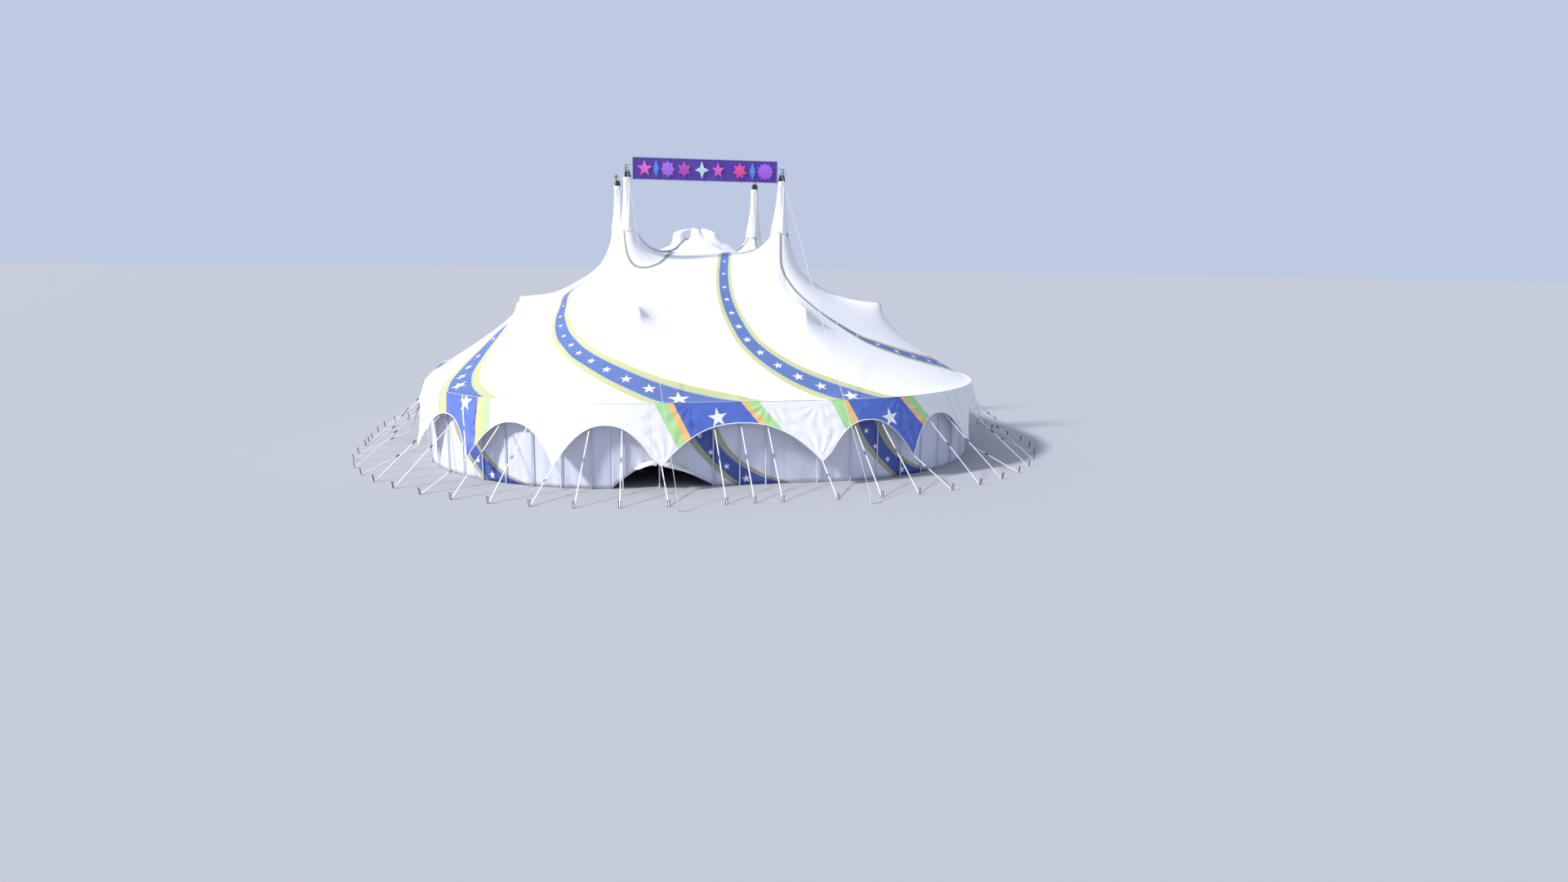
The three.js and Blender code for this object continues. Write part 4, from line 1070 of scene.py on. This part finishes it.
def makeSleeve(corner, signX, signY):
    s = sleeveSettings
    mast = (signX * plan["mastX"], signY * plan["mastY"])

    # direction in plan, height and radius of the cloth at a heading and a share of the way down
    def clothAt(heading, share):
        east, north = np.sin(heading), -np.cos(heading)
        facing = np.maximum(-(east * mast[0] + north * mast[1]) / math.hypot(*mast), 0)
        flare = s["flare"] * facing ** 2
        footReach = s["footRadius"] + flare
        foot = canopyHeight(mast[0] + footReach * east, mast[1] + footReach * north) + s["footLift"]
        z = s["top"] - (s["top"] - foot) * share
        squared = np.clip((z - 7.2) * 1.2, 0, 1) * np.clip((8.24 - z) / 0.12, 0, 1)
        radius = sleeveRadius(z) * (1 - s["squared"] * squared * np.cos(4 * heading))
        down = np.clip((s["flareTop"] - z) / (s["flareTop"] - foot), 0, 1)
        return east, north, z, radius + flare * down ** 1.5

    def placeAt(u, v):
        heading = u * 2 * math.pi
        east, north, z, radius = clothAt(heading, v)
        drape = np.sin(heading * 9 + 2 * np.sin(z * 3)) * np.clip((8.2 - z) * 1.5, 0, 1)
        radius = radius + s["drape"] * drape + s["drape"] * (v > 0.97)
        return mast[0] + radius * east, mast[1] + radius * north, z, lapMap(u * 4 + 0.62, z)

    sleeve = gridPiece("sleeveCloth_" + corner, s["turns"], s["rows"], placeAt, cloths["plain"],
                       ["mast_sleeve_" + corner])
    weld(sleeve)
    thicken(sleeve, plan["clothDepth"])

    def onCloth(heading, share):
        east, north, z, radius = clothAt(heading, share)
        radius += s["cordLift"]
        return mast[0] + radius * east, mast[1] + radius * north, z

    # lacing up the sleeve's lap, and a cord round its head and its hem
    bm = bmesh.new()
    for k in range(s["crossings"]):
        heading, share = math.radians(s["lacing"]), s["laceStart"] + s["laceSpan"] * k / s["crossings"]
        for turn in (-1, 1):
            lace = [onCloth(heading + s["aside"] * turn * j, share + s["down"] * j)
                    for j in (-1.5, -0.5, 0.5, 1.5)]
            tube(bm, lace, s["laceRadius"], 5)
    for share in s["cords"]:
        points = [onCloth(math.radians(degrees), share) for degrees in range(0, 361, 12)]
        tube(bm, points, s["cordRadius"], 6)
    finishPiece("sleeveLacing_" + corner, bm, webbings["white"])


# king poles: pulley heads with lamp frames, and the lattice inside the sleeves

headSettings = {
    # height of the axle, radius and width of a sheave, their places along and across, and the cheek plates
    "axle": 8.355, "sheave": (0.066, 0.03), "along": (-0.045, 0.045), "across": (-0.055, 0.055),
    "cheeks": (-0.08, 0, 0.08), "cheek": (0.008, 0.19, 0.15), "bolts": 4, "boltStep": 0.045,
    "frameWidth": 0.15, "rungs": [8.46, 8.56, 8.66], "lamps": [-0.042, 0.042], "lamp": (0.06, 0.04, 0.07),
    # the bracing's panels, the height where they start, and how far it leans and lies out
    "panel": 0.35, "panels": 23, "bottom": 0.16, "lean": 0.07, "face": 0.075,
}


# a grooved pulley wheel with its axis along x, spun from half of its section
def wheel(bm, centre, radius, width):
    half = width / 2
    section = [(-half, 0.012), (-half, radius), (-half * 0.6, radius), (-half * 0.3, radius * 0.86),
               (half * 0.3, radius * 0.86), (half * 0.6, radius), (half, radius), (half, 0.012)]
    known = set(bm.verts)
    verts = [bm.verts.new((x, 0, r)) for x, r in section]
    edges = [bm.edges.new(pair) for pair in zip(verts, verts[1:] + verts[:1])]
    bmesh.ops.spin(bm, geom=verts + edges, cent=(0, 0, 0), axis=(1, 0, 0), angle=2 * math.pi, steps=20,
                   use_merge=True)
    fresh = [v for v in bm.verts if v not in known]
    bmesh.ops.transform(bm, matrix=Matrix.Translation(centre), verts=fresh)


def makePulleys(corner, x, y):
    s = headSettings
    z = s["axle"]
    bm = bmesh.new()
    for shift in s["across"]:
        for along in s["along"]:
            wheel(bm, (x + along, y + shift, z), *s["sheave"])
        block(bm, (x, y + shift, z), (0.15, 0.02, 0.02))
    for cheek in s["cheeks"]:
        block(bm, (x + cheek, y, z - 0.005), s["cheek"], round=0.003)
    for k in range(s["bolts"]):
        for end in (-1, 1):
            place = y - 0.07 + s["boltStep"] * k
            bar(bm, (x + end * 0.092, place, z - 0.05), (x + end * 0.08, place, z - 0.05), 0.008, 6)
    for shift in (-0.1, 0.1):
        bar(bm, (x, y + shift, z), (x, y + shift * 0.9, 8.2), 0.006, 6)
    bmesh.ops.recalc_face_normals(bm, faces=bm.faces)
    steelPiece("pulleyHead_" + corner, bm, "dark")


def makeLampFrame(corner, post, y, signY):
    s = headSettings
    half = s["frameWidth"] / 2
    low, high = s["rungs"][0], s["rungs"][-1]
    bm = bmesh.new()
    for side in (-half, half):
        bar(bm, (post + side, y, low - 0.03), (post + side, y, high + 0.015), 0.01, 6)
    for z in s["rungs"]:
        bar(bm, (post - half, y, z), (post + half, y, z), 0.009, 6)
    bar(bm, (post - half, y, low), (post + half, y, high), 0.006, 6)
    for lamp in s["lamps"]:
        block(bm, (post + lamp, y + signY * 0.03, high - 0.06), s["lamp"], round=0.008)
        bar(bm, (post + lamp, y, high - 0.06), (post + lamp, y + signY * 0.02, high - 0.06), 0.007, 6)
    steelPiece("lampFrame_" + corner, bm, "painted")


# zigzag bracing between the chords
def makeBracing(corner, x, y):
    s = headSettings
    bm = bmesh.new()
    for face in range(4):
        turn = Matrix.Rotation(face * math.pi / 2, 3, "Z")
        for k in range(s["panels"]):
            lean = s["lean"] if k % 2 else -s["lean"]
            low = turn @ Vector((lean, -s["face"], s["bottom"] + k * s["panel"]))
            high = turn @ Vector((-lean, -s["face"], s["bottom"] + (k + 1) * s["panel"]))
            bar(bm, low + Vector((x, y, 0)), high + Vector((x, y, 0)), 0.005, 6)
    steelPiece("poleBracing_" + corner, bm, "galvanised")


def makeHead(corner, signX, signY):
    x, y = signX * plan["mastX"], signY * plan["mastY"]
    makePulleys(corner, x, y)
    if corner != "back_right":
        makeLampFrame(corner, x + signX * 0.045, y, signY)
    makeBracing(corner, x, y)


# webbing on the scallops, guys, ratchets and stakes

guySettings = {
    # bays along a side where a point of the valance is held down, and where the side poles are
    "tips": [0, 1, 2, 3, 4],
    "guys": [1 / 3, 2 / 3, 4 / 3, 5 / 3, 7 / 3, 2.5, 8 / 3, 10 / 3, 11 / 3, 13 / 3, 14 / 3],
    "guyHeight": 1.75, "poleReach": 6.025, "width": 0.027, "depth": 0.01,
    # length, radius and half the distance apart of a pair of stakes
    "stake": 0.17, "stakeRadius": 0.009, "stakeShift": 0.024,
    # shares of a guy's length where its ratchet starts and ends, and the same at a point of the valance
    "ratchet": (0.42, 0.5), "tipRatchet": (0.3, 0.42), "thinWidth": 0.025, "thinDepth": 0.006,
}


def rimVector(side, bay, reach, z):
    x, y = rimPoint(side, float(alongOf(side, stationOfBay(bay))), reach)
    return Vector((float(x), float(y), z))


# turn of a flat strap that runs along a line
def strapTurn(run):
    across = Vector((-run.y, run.x, 0)).normalized()
    return Matrix((across, across.cross(run).normalized(), run.normalized())).transposed().to_4x4()


def strap(bm, start, end, width, depth):
    run = end - start
    block(bm, (start + end) / 2, (width, depth, run.length), strapTurn(run))


# ratchet with two cheeks, a drum and a handle bar
def ratchet(bm, middle, run):
    ahead = run.normalized()
    across = Vector((-run.y, run.x, 0)).normalized()
    for shift in (-0.022, 0.022):
        block(bm, middle + across * shift, (0.005, 0.026, 0.11), strapTurn(run))
    for place, half, radius in ((-0.03, 0.026, 0.011), (0.045, 0.024, 0.006)):
        at = middle + ahead * place
        bar(bm, at - across * half, at + across * half, radius)


# pair of stakes with their heads
def stakes(bm, foot, run):
    s = guySettings
    lean = Vector((run.x, run.y, 0)).normalized()
    across = Vector((-run.y, run.x, 0)).normalized()
    for shift in (-s["stakeShift"], s["stakeShift"]):
        low = Vector((foot.x, foot.y, 0)) + across * shift + lean * 0.01
        top = low + lean * 0.03 + Vector((0, 0, s["stake"]))
        bar(bm, low, top, s["stakeRadius"], 7)
        bar(bm, top, top + Vector((0, 0, 0.01)), s["stakeRadius"] * 1.6, 7)


def makeGuys(side):
    s = guySettings
    straps, iron = bmesh.new(), bmesh.new()
    for bay in s["tips"] + s["guys"]:
        tip = bay in s["tips"]
        at = max(bay, 0.01)
        top = rimVector(side, at, s["poleReach"], s["guyHeight"])
        joint, buckle = s["ratchet"]
        if tip:
            top = rimVector(side, at, plan["tipReach"] + 0.007, plan["tipHeight"] - 0.005)
            joint, buckle = s["tipRatchet"]
        foot = rimVector(side, at, plan["anchorReach"], 0.005)
        run = foot - top
        strap(straps, top, top + run * joint, s["width"], s["depth"])
        strap(straps, top + run * buckle, foot, s["width"], s["depth"])
        if tip:
            strap(straps, top + run * joint, top + run * buckle, s["thinWidth"], s["thinDepth"])
        ratchet(iron, top + run * (joint + buckle) / 2, run)
        stakes(iron, foot, run)
    finishPiece("guyStraps_" + sides[side], straps, webbings["white"], smooth=False)
    steelPiece("guyTackle_" + sides[side], iron, "dark")


# tape on the scallops, tape down to the corner's point, and the cord in the eave

tapeSettings = {
    "hemWidth": 0.026, "hemDrop": 0.006, "hemDepth": 0.005, "hemLift": 0.002,
    # how far the corner's tape runs along, its width, its end's height over the point, its lift off the cloth
    "cornerRun": 0.66, "cornerWidth": 0.045, "cornerFoot": 0.03, "cornerLift": 0.003,
    "cord": 0.0045, "cordSteps": 60, "cordLift": 0.004, "cordDrop": 0.002,
}


def makeHemTape(side):
    s = tapeSettings

    def placeAt(u, v):
        bay = u * 5
        along = alongOf(side, stationOfBay(bay))
        edge = scallopHeight(bay)
        z = edge - s["hemDrop"] + s["hemWidth"] * (1 - v)
        reach = valanceReach(z) + s["hemLift"] + valanceCrumple(side, along, np.maximum(z, edge), bay)
        return *rimPoint(side, along, reach), z, noMap

    tape = gridPiece("hemTape_" + sides[side], 400, 1, placeAt, webbings["white"],
                     ["edge_webbing_" + sides[side]])
    thicken(tape, s["hemDepth"])

    def cornerPlaceAt(u, v):
        along = float(alongOf(side, 5)) - s["cornerRun"] * (1 - u) + s["cornerWidth"] * (v - 0.5)
        z = plan["eaveHeight"] - (plan["eaveHeight"] - plan["tipHeight"] - s["cornerFoot"]) * u
        reach = valanceReach(z) + s["cornerLift"] + valanceCrumple(side, along, z, 4.5 + 0 * u)
        return *rimPoint(side, along, reach), z, noMap

    corner = gridPiece("cornerTape_" + sides[side], 60, 2, cornerPlaceAt, webbings["white"], [])
    thicken(corner, plan["clothDepth"])
    bm = bmesh.new()
    for half in range(2):
        along = alongOf(side, (np.linspace(0, 1, s["cordSteps"]) + half) * 2.5)
        x, y = rimPoint(side, along, plan["eaveReach"] + s["cordLift"])
        tube(bm, [(*place, plan["eaveHeight"] - s["cordDrop"]) for place in zip(x, y)], s["cord"], 6)
    finishPiece("eaveCord_" + sides[side], bm, webbings["white"])


# sign: a board with a metal edge, rivets and a row of bright ornaments

signSettings = {
    "half": 2.24, "low": 8.225, "high": 8.89, "front": -2.23, "back": -2.205, "edge": 0.02, "depth": 0.012,
    "trim": 0.004, "rivets": 21, "lastRivet": 2.1, "bevel": 0.025,
    # paint of the board, the joints between its panels and the dust on it
    "paint": ((0.06, 0.025, 0.3, 1), (0.12, 0.04, 0.42, 1)), "panel": 1.12, "joint": (0.02, 0.01, 0.08, 1),
    "dust": (0.4, 0.38, 0.45, 1),
    # place along the board, half width, half height, points, how deep they are cut, colour
    "ornaments": [
        (-1.876, .24, .25, 5, .42, (.62, .1, .42)), (-1.527, .09, .26, 2, 1, (.06, .17, .6)),
        (-1.177, .22, .25, 8, .72, (.3, .1, .62)), (-.678, .22, .25, 6, .58, (.34, .04, .3)),
        (-.13, .22, .26, 4, .4, (.36, .68, .62)), (.369, .2, .25, 5, .42, (.6, .08, .4)),
        (1.043, .22, .25, 7, .6, (.62, .04, .24)), (1.442, .09, .26, 2, 1, (.05, .2, .6)),
        (1.841, .26, .26, 12, .8, (.28, .07, .55)),
    ],
}


def makeBoardPaint():
    s = signSettings
    finish = Finish("signBoard", Coat_Weight=0.3)
    where = finish.place()
    x = finish.split(where, "X")[0]
    cloud = finish.noise(where, 2.5, 4)
    joint = finish.ease(abs((x / s["panel"]).fraction() - 0.5), 0.492, 0.5)
    colour = finish.blend(joint * 0.7, finish.blend(cloud, *s["paint"]), s["joint"])
    dust = finish.ease(finish.noise(where, 14, 4), 0.5, 0.8)
    finish.feed("Base Color", finish.blend(dust * 0.15, colour, s["dust"]))
    finish.feed("Roughness", 0.35 + dust * 0.3)
    finish.bump(joint * -1 + cloud * 0.1, 0.4, 0.004)
    return finish.material


def makeOrnamentPaint(number, colour):
    s = signSettings
    paint = Finish("ornamentPaint_%d" % number, Coat_Weight=0.4)
    where = paint.place()
    height = paint.split(where, "Z")[0]
    # the colour turns lighter towards the top of the board, with a mottle over it
    fade = paint.ease(height, s["low"], s["high"])
    light = tuple(min(c * 1.7 + 0.06, 1) for c in colour) + (1,)
    paint.feed("Base Color", paint.blend(fade * 0.6 + paint.noise(where, 9, 3) * 0.3, colour + (1,), light))
    paint.feed("Roughness", 0.3 + paint.noise(where, 20, 3) * 0.2)
    return paint.material


# a raised star whose points alternate with corners cut in towards the middle
def makeOrnament(number, along, halfWidth, halfHeight, points, cut, colour):
    s = signSettings
    bm = bmesh.new()
    for v in bmesh.ops.create_circle(bm, cap_ends=True, radius=1, segments=points * 2)["verts"]:
        angle = math.atan2(-v.co.x, v.co.y)
        tip = round(angle / (math.pi / points)) % 2 == 0
        size = 1 if tip else cut
        v.co = (-size * math.sin(angle) * halfWidth, size * math.cos(angle) * halfHeight, 0)
    bmesh.ops.inset_region(bm, faces=bm.faces[:], thickness=s["bevel"], depth=s["depth"])
    shell = bmesh.ops.extrude_face_region(bm, geom=bm.faces[:])
    verts = [g for g in shell["geom"] if isinstance(g, bmesh.types.BMVert)]
    bmesh.ops.translate(bm, vec=(0, 0, -s["depth"]), verts=verts)
    bmesh.ops.recalc_face_normals(bm, faces=bm.faces)
    place = Matrix.Translation((along, s["front"] - s["depth"], (s["low"] + s["high"]) / 2))
    bmesh.ops.transform(bm, matrix=place @ Matrix.Rotation(math.pi / 2, 4, "X"), verts=bm.verts)
    paint = makeOrnamentPaint(number, colour)
    finishPiece("signOrnament_%d" % number, bm, paint, smooth=False)


def makeSign():
    s = signSettings
    middle = ((s["front"] + s["back"]) / 2, (s["low"] + s["high"]) / 2)
    bm = bmesh.new()
    block(bm, (0, *middle), (2 * s["half"], s["back"] - s["front"], s["high"] - s["low"]), round=0.004)
    finishPiece("signBoard", bm, makeBoardPaint(), ["sign_panel"], smooth=False)
    bm = bmesh.new()
    face = s["front"] - s["trim"]
    faceFront = Matrix.Rotation(math.pi / 2, 4, "X")
    for z in (s["low"] + s["edge"] / 2, s["high"] - s["edge"] / 2):
        block(bm, (0, face, z), (2 * s["half"], 0.008, s["edge"]))
        for x in np.linspace(-s["lastRivet"], s["lastRivet"], s["rivets"]):
            bmesh.ops.create_cone(bm, cap_ends=True, segments=8, radius1=0.006, radius2=0.004, depth=0.004,
                                  matrix=Matrix.Translation((x, face - s["trim"], z)) @ faceFront)
    for x in (-s["half"] + s["edge"] / 2, s["half"] - s["edge"] / 2):
        block(bm, (x, face, middle[1]), (s["edge"], 0.0078, s["high"] - s["low"] - 2 * s["edge"]))
    steelPiece("signEdge", bm, "galvanised")
    for i, ornament in enumerate(s["ornaments"]):
        makeOrnament(i + 1, *ornament)


# rolled hem of the lifted curtain, bunched on each side of the pole at the doorway

# start and end station, reach out from the wall at each, and the share along at which it tapers off
rollSettings = {"doorway_awning_left": (22 / 12, 2.035, 0.2, 0.35, 0),
                "doorway_awning_right": (2.075, 27 / 12, 0.3, 0.13, 1)}
# reach of the wall's face, height of the fold's middle over the foot, half its height and how far it droops
rollShape = {"face": 5.996, "lift": 0.065, "half": 0.05, "droop": 0.015, "taper": 0.35,
             "creases": (0.004, 0.008), "wave": 0.06}


def makeRoll(name):
    s = rollShape
    start, end, near, far, outerEnd = rollSettings[name]

    def placeAt(u, v):
        station = start + (end - start) * u
        full = np.clip(np.abs(u - outerEnd) / s["taper"], 0.06, 1) ** 0.5
        reach = (near + (far - near) * u) * (1 - s["wave"] + s["wave"] * np.sin(u * 11)) * full
        fine, broad = s["creases"]
        crease = fine * np.sin(u * 27 + 5 * np.sin(v * 3)) + broad * np.sin(u * 7 + v * 4)
        section = s["half"] * np.cos(math.pi * v) - s["droop"] * np.sin(math.pi * v) + crease
        out = s["face"] + reach * np.sin(math.pi * v) ** 0.8
        x, y = rimPoint(0, alongOf(0, station), out)
        return x, y, doorFoot(station) + s["lift"] + section * full, lapMap(v * 0.4 + 0.3, u)

    roll = gridPiece(name.replace("doorway_awning", "doorRoll"), 90, 26, placeAt, cloths["plain"],
                     [name])
    thicken(roll, plan["clothDepth"])
    length = float(alongOf(0, end) - alongOf(0, start))


makeCrown()
makeRidges()
for corner, (signX, signY) in corners.items():
    makeSleeve(corner, signX, signY)
    makeHead(corner, signX, signY)
print("crown, sleeves and heads made")
for side in range(4):
    makeHemTape(side)
    makeGuys(side)
print("guys and stakes set")
makeSign()
for name in rollSettings:
    makeRoll(name)
print("sign and doorway made")


# floor and light

stageSettings = {
    "sun": 4.5, "sunColour": (1, 0.98, 0.95), "sunAngle": 6, "toSun": (-0.88, -0.2, 0.66),
    "sky": 0.76, "skyColour": (0.68, 0.77, 1, 1),
    "floorRadius": 400, "floorPlace": (0, 60, -0.002), "floorColour": (0.4, 0.41, 0.43, 1),
}


def makeStage():
    s = stageSettings
    bm = bmesh.new()
    bmesh.ops.create_circle(bm, cap_ends=True, radius=s["floorRadius"], segments=64,
                            matrix=Matrix.Translation(s["floorPlace"]))
    mesh = bpy.data.meshes.new("floor")
    bm.to_mesh(mesh)
    bm.free()
    floorFinish = Finish("paleFloor", Roughness=0.9)
    floorFinish.feed("Base Color", s["floorColour"])
    mesh.materials.append(floorFinish.material)
    floor = bpy.data.objects.new("floor", mesh)
    bpy.context.scene.collection.objects.link(floor)
    data = bpy.data.lights.new("key", "SUN")
    data.energy = s["sun"]
    data.color = s["sunColour"]
    data.angle = math.radians(s["sunAngle"])
    key = bpy.data.objects.new("key", data)
    key.rotation_euler = Vector(s["toSun"]).to_track_quat("Z", "Y").to_euler()
    bpy.context.scene.collection.objects.link(key)
    world = bpy.data.worlds.new("studio")
    world.use_nodes = True
    sky = world.node_tree.nodes["Background"]
    sky.inputs["Color"].default_value = s["skyColour"]
    sky.inputs["Strength"].default_value = s["sky"]
    bpy.context.scene.world = world
    bpy.context.scene.view_settings.view_transform = "Standard"


makeStage()
print("stage lit")

# finishes of the pieces that are carried over from the frame; those not named here are galvanised
keptFinishes = {"mast_stay": "rope", "side_poles": "painted", "king_pole": "dark"}
for name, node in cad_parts.items():
    kinds = [kind for start, kind in keptFinishes.items() if name.startswith(start)] or ["galvanised"]
    node.data.materials.clear()
    node.data.materials.append(steels[kinds[0]])
